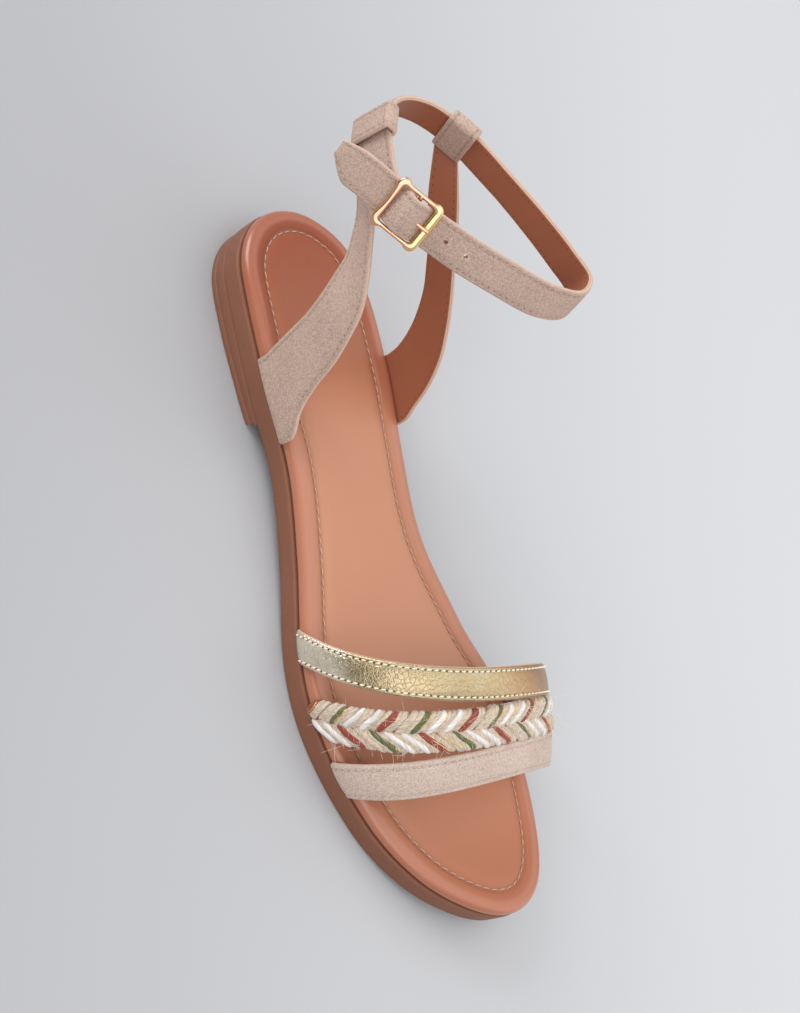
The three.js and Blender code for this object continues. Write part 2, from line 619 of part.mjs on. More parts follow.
const buckleHalfWidth = ANKLE_STRAP_WIDTH / 2 + CLEARANCE + BUCKLE_RAIL;
function buckleBody(grow) {
  const bevel = BUCKLE_THICKNESS * 0.25;
  const halfX = BUCKLE_LENGTH / 2 + grow;
  const halfY = buckleHalfWidth + grow;
  const shape = roundedBox(new THREE.Shape(), halfX - bevel, halfY - bevel, 1.6);
  const innerX = BUCKLE_LENGTH / 2 - BUCKLE_BAR - grow + bevel;
  const innerY = buckleHalfWidth - BUCKLE_RAIL - grow + bevel;
  shape.holes.push(roundedBox(new THREE.Path(), innerX, innerY, 0.8));
  const options = { bevelThickness: bevel, bevelSize: bevel, bevelSegments: 1, curveSegments: 3 };
  const depth = BUCKLE_THICKNESS + 2 * grow - 2 * bevel;
  const ring = new THREE.ExtrudeGeometry(shape, { ...options, depth }).translate(0, 0, -depth / 2);
  const barRadius = CENTRE_BAR / 2 + grow;
  const bar = new THREE.CylinderGeometry(barRadius, barRadius, 2 * buckleHalfWidth - BUCKLE_RAIL, 10);
  return join(ring, bar);
}

// Prong: a ring round the centre bar and a rod that comes up through the strap onto the end bar
function prong(grow) {
  const inner = CENTRE_BAR / 2 + CLEARANCE;
  const outer = inner + PRONG * 0.8;
  const ringShape = new THREE.Shape();
  ringShape.absarc(0, 0, outer + grow, 0, Math.PI * 2);
  if (grow === 0) {
    const bore = new THREE.Path();
    bore.absarc(0, 0, inner, 0, Math.PI * 2);
    ringShape.holes.push(bore);
  }
  const wide = PRONG + 2 * grow;
  const ring = new THREE.ExtrudeGeometry(ringShape, { depth: wide, bevelEnabled: false, curveSegments: 8 });
  ring.rotateX(Math.PI / 2).translate(0, wide / 2, 0);
  const rest = BUCKLE_THICKNESS / 2 + CLEARANCE + PRONG / 2;
  const path = new THREE.CatmullRomCurve3([
    vector(inner + LOOP_STRIP / 2, 0, 0.2),
    vector(barOffset * 0.45, 0, rest * 0.75),
    vector(barOffset * 0.8, 0, rest),
    vector(barOffset + BUCKLE_BAR / 2 + grow, 0, rest - 0.1),
  ]);
  const section = new THREE.Shape();
  section.absarc(0, 0, PRONG / 2 + grow, 0, Math.PI * 2);
  const rod = new THREE.ExtrudeGeometry(section, { steps: 8, extrudePath: path, bevelEnabled: false, curveSegments: 4 });
  return join(ring, rod);
}

// Loop: a thin strip folded round the centre bar, its two legs sewn on the short end of the strap
function loopStrip(grow) {
  const aside = buckleFrame.width.clone().cross(shortRun).normalize();
  const at = (along, over) => beforeBar(along).addScaledVector(aside, over);
  const turnSteps = 8;
  const turn = evenly(turnSteps).map((t) => {
    const angle = Math.PI / 2 + Math.PI * t;
    return at(loopRadius * Math.cos(angle), loopRadius * Math.sin(angle));
  });
  const leg = (sign) => [0.5, 1].map((t) => at((LOOP_LEG + grow) * t, sign * loopRadius));
  const path = [...leg(1).reverse(), ...turn, ...leg(-1)];
  const full = LOOP_WIDTH + 2 * grow;
  const grid = path.map((point) => (
    across(full, LOOP_STRIP, [0.5]).map((f) => point.clone().addScaledVector(buckleFrame.width, (f - 0.5) * full))
  ));
  return sheet(grid, LOOP_STRIP + 2 * grow);
}

const inBuckle = (geometry) => geometry.applyMatrix4(buckleBasis);

function ankleStrap() {
  const holes = Array.from({ length: HOLE_COUNT }, (_, i) => {
    const fromProng = (i - (HOLE_COUNT - 1) / 2 + 0.5) * HOLE_PITCH;
    return buckleAt + barOffset * 0.5 + fromProng;
  }).filter((at) => Math.abs(at - buckleAt) > BUCKLE_LENGTH / 2);
  const cutters = holes.map((at) => {
    const { centre, run, width, out } = frameAt(parameterAt(at));
    const drill = new THREE.CylinderGeometry(HOLE / 2, HOLE / 2, STRAP * 8, 8).rotateX(Math.PI / 2);
    return drill.applyMatrix4(new THREE.Matrix4().makeBasis(run, width, out).setPosition(centre));
  });
  const hardware = [inBuckle(buckleBody(CLEARANCE)), inBuckle(prong(CLEARANCE)), loopStrip(CLEARANCE)];
  return carve(sheet(ankleGrid(0), STRAP), [...cutters, ...hardware]);
}

// Keeper: the top of a quarter, folded over the ankle strap
function keeperFrame(name) {
  return frameAt(markAt(`${name}_keeper`));
}

function keeper(name) {
  const { centre, run, width, out } = keeperFrame(name);
  const halfAcross = STRAP / 2 + CLEARANCE + KEEPER_WALL;
  const halfUp = ANKLE_STRAP_WIDTH / 2 + CLEARANCE + KEEPER_WALL;
  const bevel = KEEPER_WALL * 0.3;
  const shape = roundedBox(new THREE.Shape(), halfAcross - bevel, halfUp - bevel, halfAcross * 0.7);
  const depth = KEEPER_LENGTH - 2 * bevel;
  const options = { depth, bevelThickness: bevel, bevelSize: bevel, bevelSegments: 1, curveSegments: 4 };
  const block = new THREE.ExtrudeGeometry(shape, options).translate(0, 0, -depth / 2);
  return block.applyMatrix4(new THREE.Matrix4().makeBasis(out.negate(), width, run).setPosition(centre));
}

// Quarter: a leaf that starts under the footbed, lies on the heel's side and ends in its keeper
const QUARTER_INNER = [0.25, 0.5, 0.75];
const QUARTER_ROWS = 21;
function quarterSheet(table, name, grow) {
  const { centre, run, width } = keeperFrame(name);
  const root = centre.clone().addScaledVector(width, -(ANKLE_STRAP_WIDTH + STRAP + KEEPER_WALL) / 2 - CLEARANCE);
  const forward = run.clone().multiplyScalar(-side(name) * (KEEPER_LENGTH / 2 - 0.4));
  const rowPoint = (row, fraction) => {
    const x = mix(row.rear, row.front, fraction) * LENGTH;
    const z = mix(row.rearUp, row.frontUp, fraction) * ANKLE_HEIGHT;
    const inward = row.turn * ANKLE_WIDTH * (1 - fraction);
    return vector(x, side(name) * (heelSide(x, z, name) - inward), z);
  };
  const widest = (table[0].front - table[0].rear) * LENGTH;
  const lanes = across(widest, STRAP, QUARTER_INNER).map((share) => {
    const fraction = share + (2 * share - 1) * grow / widest;
    const footX = mix(table[0].rear, table[0].front, fraction) * LENGTH;
    const points = [
      ...tuckPoints(footX, name, grow),
      ...table.map((row) => rowPoint(row, fraction)),
      root.clone().addScaledVector(forward, 2 * fraction - 1),
    ];
    return new THREE.CatmullRomCurve3(points, false, 'centripetal');
  });
  return sheet(evenly(QUARTER_ROWS).map((t) => lanes.map((lane) => lane.getPoint(t))), STRAP + 2 * grow);
}

function quarter(table, name, strapCutter) {
  const shell = join(quarterSheet(table, name, 0), keeper(name));
  return carve(shell, [strapCutter]);
}

// Assembly
const sandal = new THREE.Group();
function add(name, geometry, color, roughness, metalness = 0) {
  const material = new THREE.MeshStandardMaterial({ color, roughness, metalness });
  const mesh = new THREE.Mesh(geometry, material);
  mesh.name = name;
  sandal.add(mesh);
}

const straps = strapLayout();
const ankleCutter = sheet(ankleGrid(CLEARANCE), STRAP + 2 * CLEARANCE);
const tucked = [
  ...straps.map((strap) => plainStrap(strap, CLEARANCE)),
  quarterSheet(QUARTER_LATERAL, 'lateral', CLEARANCE),
  quarterSheet(QUARTER_MEDIAL, 'medial', CLEARANCE),
];
add('outsole', outsole(), BROWN, 0.6);
add('footbed', footbed(tucked), TAN, 0.45);
for (const strap of straps) {
  if (strap.name === 'braid_strap') add(strap.name, braidStrap(strap), ROPE, 0.9);
  else add(strap.name, plainStrap(strap), strap.name === 'gold_strap' ? GOLD : SUEDE, 0.6, strap.name === 'gold_strap' ? 0.8 : 0);
}
add('quarter_lateral', quarter(QUARTER_LATERAL, 'lateral', ankleCutter), SUEDE, 0.95);
add('quarter_medial', quarter(QUARTER_MEDIAL, 'medial', ankleCutter), SUEDE, 0.95);
add('ankle_strap', ankleStrap(), SUEDE, 0.95);
add('buckle_frame', inBuckle(buckleBody(0)), ROSE_GOLD, 0.25, 1);
add('buckle_prong', inBuckle(prong(0)), ROSE_GOLD, 0.25, 1);
add('buckle_loop', carve(loopStrip(0), [inBuckle(prong(CLEARANCE))]), SUEDE, 0.95);

// The origin is on the floor, under the middle of the whole sandal
const box = new THREE.Box3().setFromObject(sandal);
sandal.position.set(-(box.min.x + box.max.x) / 2, -(box.min.y + box.max.y) / 2, -box.min.z);

export default sandal;
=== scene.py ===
"""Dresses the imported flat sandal: one operator for each piece or group of like pieces, one for the stage."""
import math
import random

import bpy
import numpy as np
from mathutils import Matrix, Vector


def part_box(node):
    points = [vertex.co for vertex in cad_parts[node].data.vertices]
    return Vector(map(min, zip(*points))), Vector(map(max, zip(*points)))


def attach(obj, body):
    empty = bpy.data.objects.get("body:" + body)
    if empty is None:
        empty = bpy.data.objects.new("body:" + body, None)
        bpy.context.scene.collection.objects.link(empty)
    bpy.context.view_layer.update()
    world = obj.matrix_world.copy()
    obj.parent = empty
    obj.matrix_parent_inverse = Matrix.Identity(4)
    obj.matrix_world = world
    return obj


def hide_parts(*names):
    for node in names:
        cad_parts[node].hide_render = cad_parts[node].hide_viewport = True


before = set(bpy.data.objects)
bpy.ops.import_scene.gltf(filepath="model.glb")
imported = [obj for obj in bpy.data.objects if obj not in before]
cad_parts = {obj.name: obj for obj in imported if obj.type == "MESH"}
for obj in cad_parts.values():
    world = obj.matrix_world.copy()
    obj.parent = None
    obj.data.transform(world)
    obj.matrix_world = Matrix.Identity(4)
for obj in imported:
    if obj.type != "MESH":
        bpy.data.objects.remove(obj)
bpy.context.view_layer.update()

bl_info = {
    "name": "Flat sandal",
    "version": (1, 0, 0),
    "blender": (4, 5, 0),
    "location": "3D View > Sidebar > Sandal",
    "description": "Builds a flat ankle-strap sandal piece by piece",
    "category": "Object",
}

MM = 0.001

# Sizes of the solids, in millimetres, in the shoe's own frame: x from the heel's back, y inwards
LENGTH = 250
BALL_WIDTH = 84.5
PLATE = 7.9
HEEL_RISE = 7.7
TOE_SPRING = 7
HEEL_LENGTH = 70
BREAST_SLANT = 1.2
HEEL_INSET = 0.35
HEEL_LIFT = 2.8
FOOTBED = 4.4
FOOTBED_INSET = 0.5
STRAP = 1.9
CLEARANCE = 0.3
TUCK = 8
INSTEP = 43
TOE_HEIGHT = 21.3
LAST_LEAN = 4.2
LAST_SQUARENESS = 2.18
ANKLE_HEIGHT = 88
ANKLE_WIDTH = 43
ANKLE_BACK = -0.016
ANKLE_MIDDLE = 0.2
ANKLE_SQUARENESS = 2.4
ANKLE_STRAP_WIDTH = 12.5
HEEL_CUP = 0.9
CHANNEL_AT = 8
CHANNEL_WIDTH = 1.5
CHANNEL_DEPTH = 0.7
PAD_RISE = 0.5
FOLD_WIDTH = 11
BUCKLE_LENGTH = 16
BUCKLE_THICKNESS = 1.6
BUCKLE_RAIL = 1.4
BUCKLE_BAR = 2.2
CENTRE_BAR = 1.6
PRONG = 1.5
LOOP_STRIP = 1
LOOP_WIDTH = 9.5
LOOP_LEG = 10
BUCKLE_HALF = ANKLE_STRAP_WIDTH / 2 + CLEARANCE + BUCKLE_RAIL
BAR_OFFSET = BUCKLE_LENGTH / 2 - BUCKLE_BAR / 2
LOOP_RADIUS = STRAP / 2 + 1.5 * CLEARANCE + LOOP_STRIP / 2

# Sewing, in millimetres: how far in from the edge, and the length of one stitch with its gap
GOLD_STITCH_IN = 1.5
TOE_STITCH_IN = 1.8
SUEDE_STITCH_IN = 1.6
GOLD_PITCH = 2.3
SUEDE_PITCH = 2.4
SUEDE_THREAD = 0.36
GROOVE_DEPTH = 0.16

OUTLINE = [
    (0, 0.022, 0), (0.016, 0.022, 0.165), (0.06, 0.029, 0.287), (0.14, 0.026, 0.335),
    (0.24, 0.009, 0.340), (0.36, -0.018, 0.318), (0.48, -0.070, 0.344), (0.60, -0.082, 0.438),
    (0.712, -0.038, 0.499), (0.82, 0.001, 0.459), (0.912, 0.034, 0.353), (0.972, 0.064, 0.206),
    (1, 0.074, 0),
]
SIDE = [
    (0, 1, 0), (0.16, 0.95, 0), (0.28, 0.75, 0), (0.44, 0.38, 0), (0.58, 0.07, 0),
    (0.66, 0, 0), (0.82, 0, 0), (0.91, 0, 0.3), (1, 0, 1),
]
INSTEP_LINE = [(0.5, 1), (0.7, 0.97), (0.78, 0.78), (0.86, TOE_HEIGHT / INSTEP), (1, 0.35)]
STRAP_AHEAD = [
    ("gold_strap", 11.3, (0.564, 0.705, 0.717, 0.683)),
    ("braid_strap", 10.9, (0.047, 0.006, 0.002, 0.0022)),
    ("toe_strap", 12.6, (0.038, -0.008, 0.0036, 0.002)),
]
QUARTERS = {
    "lateral": [
        (0.208, 0.23, 0.325, 0.23, 0), (0.202, 0.291, 0.298, 0.309, 0), (0.194, 0.380, 0.277, 0.417, 0),
        (0.186, 0.467, 0.262, 0.527, 0), (0.173, 0.560, 0.242, 0.626, 0), (0.155, 0.640, 0.221, 0.710, 0.03),
        (0.140, 0.698, 0.191, 0.776, 0.06), (0.118, 0.738, 0.156, 0.832, 0.09),
        (0.090, 0.772, 0.116, 0.878, 0.12),
    ],
    "medial": [
        (0.222, 0.23, 0.322, 0.23, 0), (0.219, 0.300, 0.312, 0.292, 0), (0.205, 0.400, 0.296, 0.395, 0),
        (0.186, 0.480, 0.270, 0.505, 0), (0.165, 0.545, 0.238, 0.590, 0), (0.145, 0.600, 0.208, 0.655, 0.02),
        (0.125, 0.655, 0.176, 0.715, 0.04), (0.102, 0.715, 0.142, 0.785, 0.06),
        (0.075, 0.775, 0.106, 0.862, 0.08),
    ],
}
ANKLE_ROUTE = [
    ("tip", 0.053, -0.932, 0.994, 28), ("free", 0.092, -0.770, 1.028, 30),
    ("buckle", 0.145, -0.583, 1.065, 30), ("near", 0.190, -0.345, 1.102, 31),
    ("outside", 0.237, 0.003, 1.131, 31), ("front", 0.275, 0.368, 1.148, 28),
    ("bend", 0.282, 0.690, 1.150, 18), ("turn", 0.256, 0.860, 1.142, 8),
    ("inside", 0.218, 0.795, 1.131, 6), ("far", 0.172, 0.690, 1.114, 8), ("past", 0.101, 0.540, 1.070, 12),
    ("medial_keeper", 0.027, 0.411, 1.000, 12), ("behind", -0.012, 0.180, 0.970, 6),
    ("back", -0.018, -0.140, 0.965, 4), ("lateral_keeper", 0.016, -0.420, 0.985, 8),
]


# ---------------------------------------------------------------- curves and the last

def clamp(value, low=0.0, high=1.0):
    return max(low, min(high, value))


def smooth(t):
    t = clamp(t)
    return t * t * (3 - 2 * t)


def mix(a, b, t):
    return a + (b - a) * t


def evenly(count):
    return [i / count for i in range(count + 1)]


def full_turn(count):
    return [2 * math.pi * i / count for i in range(count + 1)]


def unit(v):
    return v / max(np.linalg.norm(v), 1e-12)


def unit_rows(v):
    return v / np.maximum(np.linalg.norm(v, axis=-1, keepdims=True), 1e-9)


def point(x, y, z):
    return np.array([x, y, z], float)


UP = point(0, 0, 1)


def lengths_along(points):
    """The distance along a line of points at each of them."""
    return np.concatenate([[0], np.cumsum(np.linalg.norm(np.diff(points, axis=0), axis=1))])


def at_length(at, lengths, points):
    return np.stack([np.interp(at, lengths, points[:, k]) for k in range(3)], axis=-1)


def through(keys, values):
    """Smooth curve through the rows of a table, level where the rows turn back."""
    last_key = len(keys) - 1

    def chord(i):
        return (values[i + 1] - values[i]) / (keys[i + 1] - keys[i])

    slopes = []
    for i in range(len(keys)):
        if i in (0, last_key):
            slopes.append(chord(min(i, last_key - 1)))
        elif chord(i - 1) * chord(i) <= 0:
            slopes.append(0.0)
        else:
            before, after = keys[i] - keys[i - 1], keys[i + 1] - keys[i]
            slopes.append((chord(i - 1) * after + chord(i) * before) / (before + after))

    def value(key):
        at = clamp(key, keys[0], keys[-1])
        i = clamp(int(np.searchsorted(keys, at, side="left")) - 1, 0, last_key - 1)
        span = keys[i + 1] - keys[i]
        t = (at - keys[i]) / span
        a = (1 + 2 * t) * (1 - t) ** 2 * values[i] + t * (1 - t) ** 2 * span * slopes[i]
        return a + t * t * (3 - 2 * t) * values[i + 1] + t * t * (t - 1) * span * slopes[i + 1]

    return value


class Route:
    """Centripetal curve through points."""

    def __init__(self, points):
        self.points = [np.asarray(p, float) for p in points]

    def at(self, t):
        p, count = self.points, len(self.points)
        place = (count - 1) * clamp(t)
        i = min(int(place), count - 2)
        w = place - i
        p1, p2 = p[i], p[i + 1]
        p0 = p[i - 1] if i > 0 else 2 * p[0] - p[1]
        p3 = p[i + 2] if i + 2 < count else 2 * p[-1] - p[-2]
        d0, d1, d2 = (max(np.linalg.norm(b - a) ** 0.5, 1e-4) for a, b in ((p0, p1), (p1, p2), (p2, p3)))
        t1 = ((p1 - p0) / d0 - (p2 - p0) / (d0 + d1) + (p2 - p1) / d1) * d1
        t2 = ((p2 - p1) / d1 - (p3 - p1) / (d1 + d2) + (p3 - p2) / d2) * d1
        return (p1 + t1 * w + (-3 * p1 + 3 * p2 - 2 * t1 - t2) * w * w
                + (2 * p1 - 2 * p2 + t1 + t2) * w ** 3)

    def run(self, t):
        return unit(self.at(min(t + 1e-4, 1)) - self.at(max(t - 1e-4, 0)))


def angle_of(at):
    return math.acos(1 - 2 * clamp(at))


ANGLES = [angle_of(row[0]) for row in OUTLINE]
middle_of = through(ANGLES, [row[1] * BALL_WIDTH for row in OUTLINE])
half_of = through(ANGLES, [row[2] * BALL_WIDTH for row in OUTLINE])
underside_of = through([row[0] * LENGTH for row in SIDE],
                       [row[1] * HEEL_RISE + row[2] * TOE_SPRING for row in SIDE])
instep_at = through([row[0] * LENGTH for row in INSTEP_LINE], [row[1] * INSTEP for row in INSTEP_LINE])


def sign_of(side):
    return 1 if side == "medial" else -1


def edge_at(angle, side):
    return middle_of(angle) + sign_of(side) * half_of(angle)


def width_at(x, side):
    return sign_of(side) * edge_at(angle_of(x / LENGTH), side)


def feather_at(x):
    return underside_of(x) + PLATE


def outline_point(angle, side, inset):
    """A point of the sole's outline, moved in by inset."""
    def edge(a):
        return point(LENGTH * (1 - math.cos(a)) / 2, edge_at(a, side), 0)

    if angle <= 0 or angle >= math.pi:
        outward = point(-1 if angle <= 0 else 1, 0, 0)
        return point(0 if angle <= 0 else LENGTH, middle_of(angle), 0) - outward * inset
    run = unit(edge(min(angle + 0.02, math.pi)) - edge(max(angle - 0.02, 0)))
    return edge(angle) + point(run[1], -run[0], 0) * sign_of(side) * inset


def closed_at(loop, height):
    """Lifts the points of a loop to height(x) and closes it."""
    for p in loop:
        p[2] = height(p[0])
    return loop + [loop[0].copy()]


def sole_ring(inset, height, fill=1.0, steps=110):
    """One ring of the outline at the height that height(x) gives; fill draws it in to the middle line."""
    medial, lateral = ([outline_point(math.pi * t, side, inset) for t in evenly(steps)]
                       for side in ("medial", "lateral"))
    middle = [(a + b) / 2 for a, b in zip(medial, lateral)]
    loop = [mix(m, p, fill) for m, p in zip(middle, medial)]
    loop += [mix(m, p, fill) for m, p in zip(middle[-2:0:-1], lateral[-2:0:-1])]
    return closed_at(loop, height)


# The solids' own origin is the middle of the whole sandal on the floor; their outline has 26 steps
OUTSOLE_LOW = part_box("outsole")[0]
HEEL_BACK_X = OUTSOLE_LOW.x / MM
LATERAL_LOW = min(p[1] for p in sole_ring(0, lambda x: 0, steps=26))
SHIFT = np.array([HEEL_BACK_X, OUTSOLE_LOW.y / MM - LATERAL_LOW, 0.0])


def last(x, s):
    """The last over the forefoot: s runs from 0 at the outer feather to 1 at the inner one."""
    medial, lateral = (width_at(x, side) + STRAP / 4 for side in ("medial", "lateral"))
    turn = math.pi * (1 - s)
    rise, cosine = max(math.sin(turn), 0), math.cos(turn)
    reach = math.copysign(abs(cosine) ** (2 / LAST_SQUARENESS), cosine)
    y = (medial - lateral) / 2 + (medial + lateral) / 2 * reach
    lift = rise ** (2 / LAST_SQUARENESS)
    return point(x, y + LAST_LEAN * rise ** 1.5, feather_at(x) + STRAP + instep_at(x) * lift)


def tuck_points(x, side):
    """A strap's end, from under the footbed out to the feather."""
    z = feather_at(x) + CLEARANCE + STRAP / 2
    return [point(x, sign_of(side) * (width_at(x, side) - inset), z + up)
            for inset, up in ((TUCK, 0), (TUCK * 0.5, 0), (1.6, 0), (0, 0.5))]


ARCH_STEPS = [0.05, 0.1, 0.16, 0.23, 0.31, 0.4, 0.5, 0.6, 0.69, 0.77, 0.84, 0.9, 0.95]


def bezier(controls):
    a, b, c, d = (share * LENGTH for share in controls)
    return lambda s: a * (1 - s) ** 3 + 3 * b * (1 - s) ** 2 * s + 3 * c * (1 - s) * s * s + d * s ** 3


def strap_lanes():
    """For each front strap its width and a function from a share of that width to the lane's route."""
    made = {}
    behind = lambda s: 0.0
    for name, width, controls in STRAP_AHEAD:
        rear = lambda s, before=behind, ahead=bezier(controls): before(s) + ahead(s)

        def reach(s, rear=rear, width=width):
            x = rear(s)
            return width ** 2 / np.linalg.norm(last(x + width, s) - last(x, s))

        def lane(share, rear=rear, reach=reach):
            x_at = lambda s: rear(s) + share * reach(s)
            points = tuck_points(x_at(0), "lateral") + [last(x_at(s), s) for s in ARCH_STEPS]
            return Route(points + tuck_points(x_at(1), "medial")[::-1])

        made[name] = (width, lane)
        behind = lambda s, rear=rear, reach=reach: rear(s) + reach(s)
    return made


FRONT = strap_lanes()


def strap_grid(name, shares, steps):
    lanes = [FRONT[name][1](share) for share in shares]
    return np.array([[route.at(t) for route in lanes] for t in evenly(steps)])


# ---------------------------------------------------------------- the ankle

def heel_side(x, z, side):
    base = feather_at(x) + STRAP
    up = clamp((z - base) / (ANKLE_HEIGHT - base), 0, 1.2)
    low = width_at(x, side) + STRAP / 4
    back = clamp((ANKLE_MIDDLE - x / LENGTH) / (ANKLE_MIDDLE - ANKLE_BACK))
    high = ANKLE_WIDTH / 2 * (1 - back ** ANKLE_SQUARENESS) ** (1 / ANKLE_SQUARENESS)
    return mix(low, high, up)


def frame_on(route, t, lean):
    run = route.run(t)
    upright = unit(UP - run * UP.dot(run))
    width = upright * math.cos(lean) + np.cross(upright, run) * math.sin(lean)
    return route.at(t), run, width, np.cross(run, width)


class AnkleRoute:
    """The ankle strap's centre line, with a frame at each distance from its tip."""

    SAMPLES = 600
    DIP_RUN = 16

    def __init__(self):
        marked = [point(x * LENGTH, y * ANKLE_WIDTH, z * ANKLE_HEIGHT) for _, x, y, z, _ in ANKLE_ROUTE]
        self.marks = [row[0] for row in ANKLE_ROUTE]
        lean = [math.radians(row[4]) for row in ANKLE_ROUTE]
        bar = self.marks.index("buckle")
        self.buckle = frame_on(Route(marked), bar / (len(marked) - 1), lean[bar])
        centre, _, width, _ = self.buckle
        short = marked[self.marks.index("lateral_keeper")] - centre
        self.short_run = unit(short - width * short.dot(width))
        ends = [self.before_bar(LOOP_LEG + 3), self.before_bar(CENTRE_BAR / 2 + 4 * CLEARANCE)]
        self.route = Route(marked + ends)
        self.steps = len(marked) + 1
        self.lean = through(evenly(self.steps), lean + [lean[bar]] * 2)
        self.shares = evenly(self.SAMPLES)
        self.lengths = lengths_along(np.array([self.route.at(t) for t in self.shares]))
        self.length = self.lengths[-1]
        self.buckle_at = float(np.interp(self.mark("buckle"), self.shares, self.lengths))

    def before_bar(self, distance):
        return self.buckle[0] + self.short_run * distance

    def mark(self, name):
        return self.marks.index(name) / self.steps

    def frame_at(self, t):
        centre, run, width, _ = frame_on(self.route, t, self.lean(t))
        near = smooth(clamp((t - self.mark("lateral_keeper")) * self.steps))
        width = unit(mix(width, self.buckle[2], near))
        return centre, run, width, unit(np.cross(run, width))

    def dip(self, distance):
        """How far the strap lies out of its line where it goes through the buckle."""
        if distance > self.buckle_at + self.length / 2:
            return 0.0
        over = LOOP_RADIUS + LOOP_STRIP / 2 + CLEARANCE + STRAP / 2
        under = -(BUCKLE_THICKNESS / 2 + CLEARANCE + STRAP / 2)
        d = abs(distance - self.buckle_at)
        if d < BAR_OFFSET:
            return mix(over, under, smooth(d / BAR_OFFSET))
        return mix(under, 0, smooth((d - BAR_OFFSET - BUCKLE_BAR / 2) / self.DIP_RUN))

    def laid(self, distance):
        centre, run, width, out = self.frame_at(float(np.interp(distance, self.lengths, self.shares)))
        return centre + out * self.dip(distance), run, width, out


ANKLE = AnkleRoute()


# ---------------------------------------------------------------- modelling

def deselect():
    if bpy.context.object and bpy.context.object.mode != "OBJECT":
        bpy.ops.object.mode_set(mode="OBJECT")
    bpy.ops.object.select_all(action="DESELECT")


def activate(piece):
    deselect()
    piece.select_set(True)
    bpy.context.view_layer.objects.active = piece


def in_frame(points):
    """Points of the shoe's own frame, in metres from the solids' origin."""
    return (np.asarray(points, float) + SHIFT) * MM


def matrix_of(x, y, z, place):
    """A 4 x 4 matrix from three axes and a place in metres."""
    return Matrix([tuple(row) for row in zip(x, y, z, place)] + [(0, 0, 0, 1)])


def link(name, data):
    made = bpy.data.objects.new(name, data)
    bpy.context.scene.collection.objects.link(made)
    return made


def laid(name, rows, across=None, along=None, depth=None, fill=True, angle=40):
    """A grid primitive laid over rows of points: its doubles are merged and its ends filled."""
    rows = np.asarray(rows, float)
    n, m = rows.shape[:2]
    deselect()
    bpy.ops.mesh.primitive_grid_add(x_subdivisions=m - 1, y_subdivisions=n - 1, size=1)
    piece = bpy.context.object
    piece.name = piece.data.name = name
    mesh = piece.data
    mesh.vertices.foreach_set("co", in_frame(rows).ravel())
    layer = mesh.uv_layers.active
    layer.name = "lay"
    if across is None:
        across = np.zeros((n, m))
    if along is None:
        along = lengths_along(rows.mean(axis=1))
    index = np.empty(len(mesh.loops), int)
    mesh.loops.foreach_get("vertex_index", index)
    uv = np.stack([np.asarray(across, float).ravel(), np.repeat(along, m)], axis=1)
    layer.data.foreach_set("uv", uv[index].astype(np.float32).ravel())
    if depth is not None:
        attribute = mesh.attributes.new("depth", "FLOAT", "POINT")
        attribute.data.foreach_set("value", np.asarray(depth, np.float32).ravel())
    mesh.update()
    bpy.ops.object.mode_set(mode="EDIT")
    bpy.ops.mesh.select_all(action="SELECT")
    bpy.ops.mesh.remove_doubles(threshold=2e-6)
    if fill:
        bpy.ops.mesh.fill_holes(sides=0)
    bpy.ops.mesh.select_all(action="SELECT")
    bpy.ops.mesh.normals_make_consistent(inside=False)
    bpy.ops.object.mode_set(mode="OBJECT")
    bpy.ops.object.shade_smooth_by_angle(angle=math.radians(angle))
    return piece


def across_shares(width, thickness, groove=None, spacing=1.2):
    """Where the lanes of a strap lie across it: close at its rounded edges and at its stitch lines."""
    r = thickness / 2
    marks = [0, r * 0.12, r * 0.4, r * 0.75, r * 1.15]
    if groove:
        marks += [groove - 0.45, groove, groove + 0.45]
    marks = sorted(marks)
    inner = max(2, round((width - 2 * marks[-1]) / spacing))
    middle = [mix(marks[-1], width - marks[-1], i / inner) for i in range(1, inner)]
    return np.array(marks + middle + [width - m for m in reversed(marks)]) / width


def normals_of(grid):
    return unit_rows(np.cross(np.gradient(grid, axis=1), np.gradient(grid, axis=0)))


def skin(name, grid, shares, width, thickness, groove=None, crown=0.0, taper=None, facing=1, across=None):
    """A strap's wall round its middle surface, with rounded edges and a pressed stitch line."""
    grid = np.asarray(grid, float)
    n = len(grid)
    normal = normals_of(grid) * facing
    r = thickness / 2
    from_edge = np.minimum(shares, 1 - shares) * width
    inner = np.where(from_edge < r, np.sqrt(np.maximum(r * r - (r - from_edge) ** 2, 0)), r)
    lean = inner / r
    outer = inner + crown * np.clip(np.sin(np.pi * shares), 0, 1)
    if groove:
        outer = outer - GROOVE_DEPTH * np.exp(-((from_edge - groove) / 0.38) ** 2)
    taper = np.ones((n, 1)) if taper is None else taper[:, None]
    top = grid + normal * (outer * taper)[:, :, None]
    bottom = grid - normal * (inner * taper)[:, :, None]
    u = np.tile((shares - 0.5) * width, (n, 1)) if across is None else across

    def round_it(over, under):
        return np.concatenate([over, under[:, -2:0:-1], over[:, :1]], axis=1)

    depth = np.tile(lean, (n, 1))
    return laid(name, round_it(top, bottom), across=round_it(u, u), along=lengths_along(grid.mean(axis=1)),
                depth=round_it(depth, -depth))


def tube(path, radii, sides, squash=1.0, up=UP):
    """Rows of points round a path; radii may change along it and squash flattens it."""
    path = np.asarray(path, float)
    run = unit_rows(np.gradient(path, axis=0))
    side = unit_rows(np.cross(run, np.broadcast_to(up, path.shape)))
    high = np.cross(side, run)
    turns = np.linspace(0, 2 * np.pi, sides + 1)
    return [[p + s * r * math.cos(a) + h * r * squash * math.sin(a) for a in turns]
            for p, s, h, r in zip(path, side, high, np.broadcast_to(radii, len(path)))]


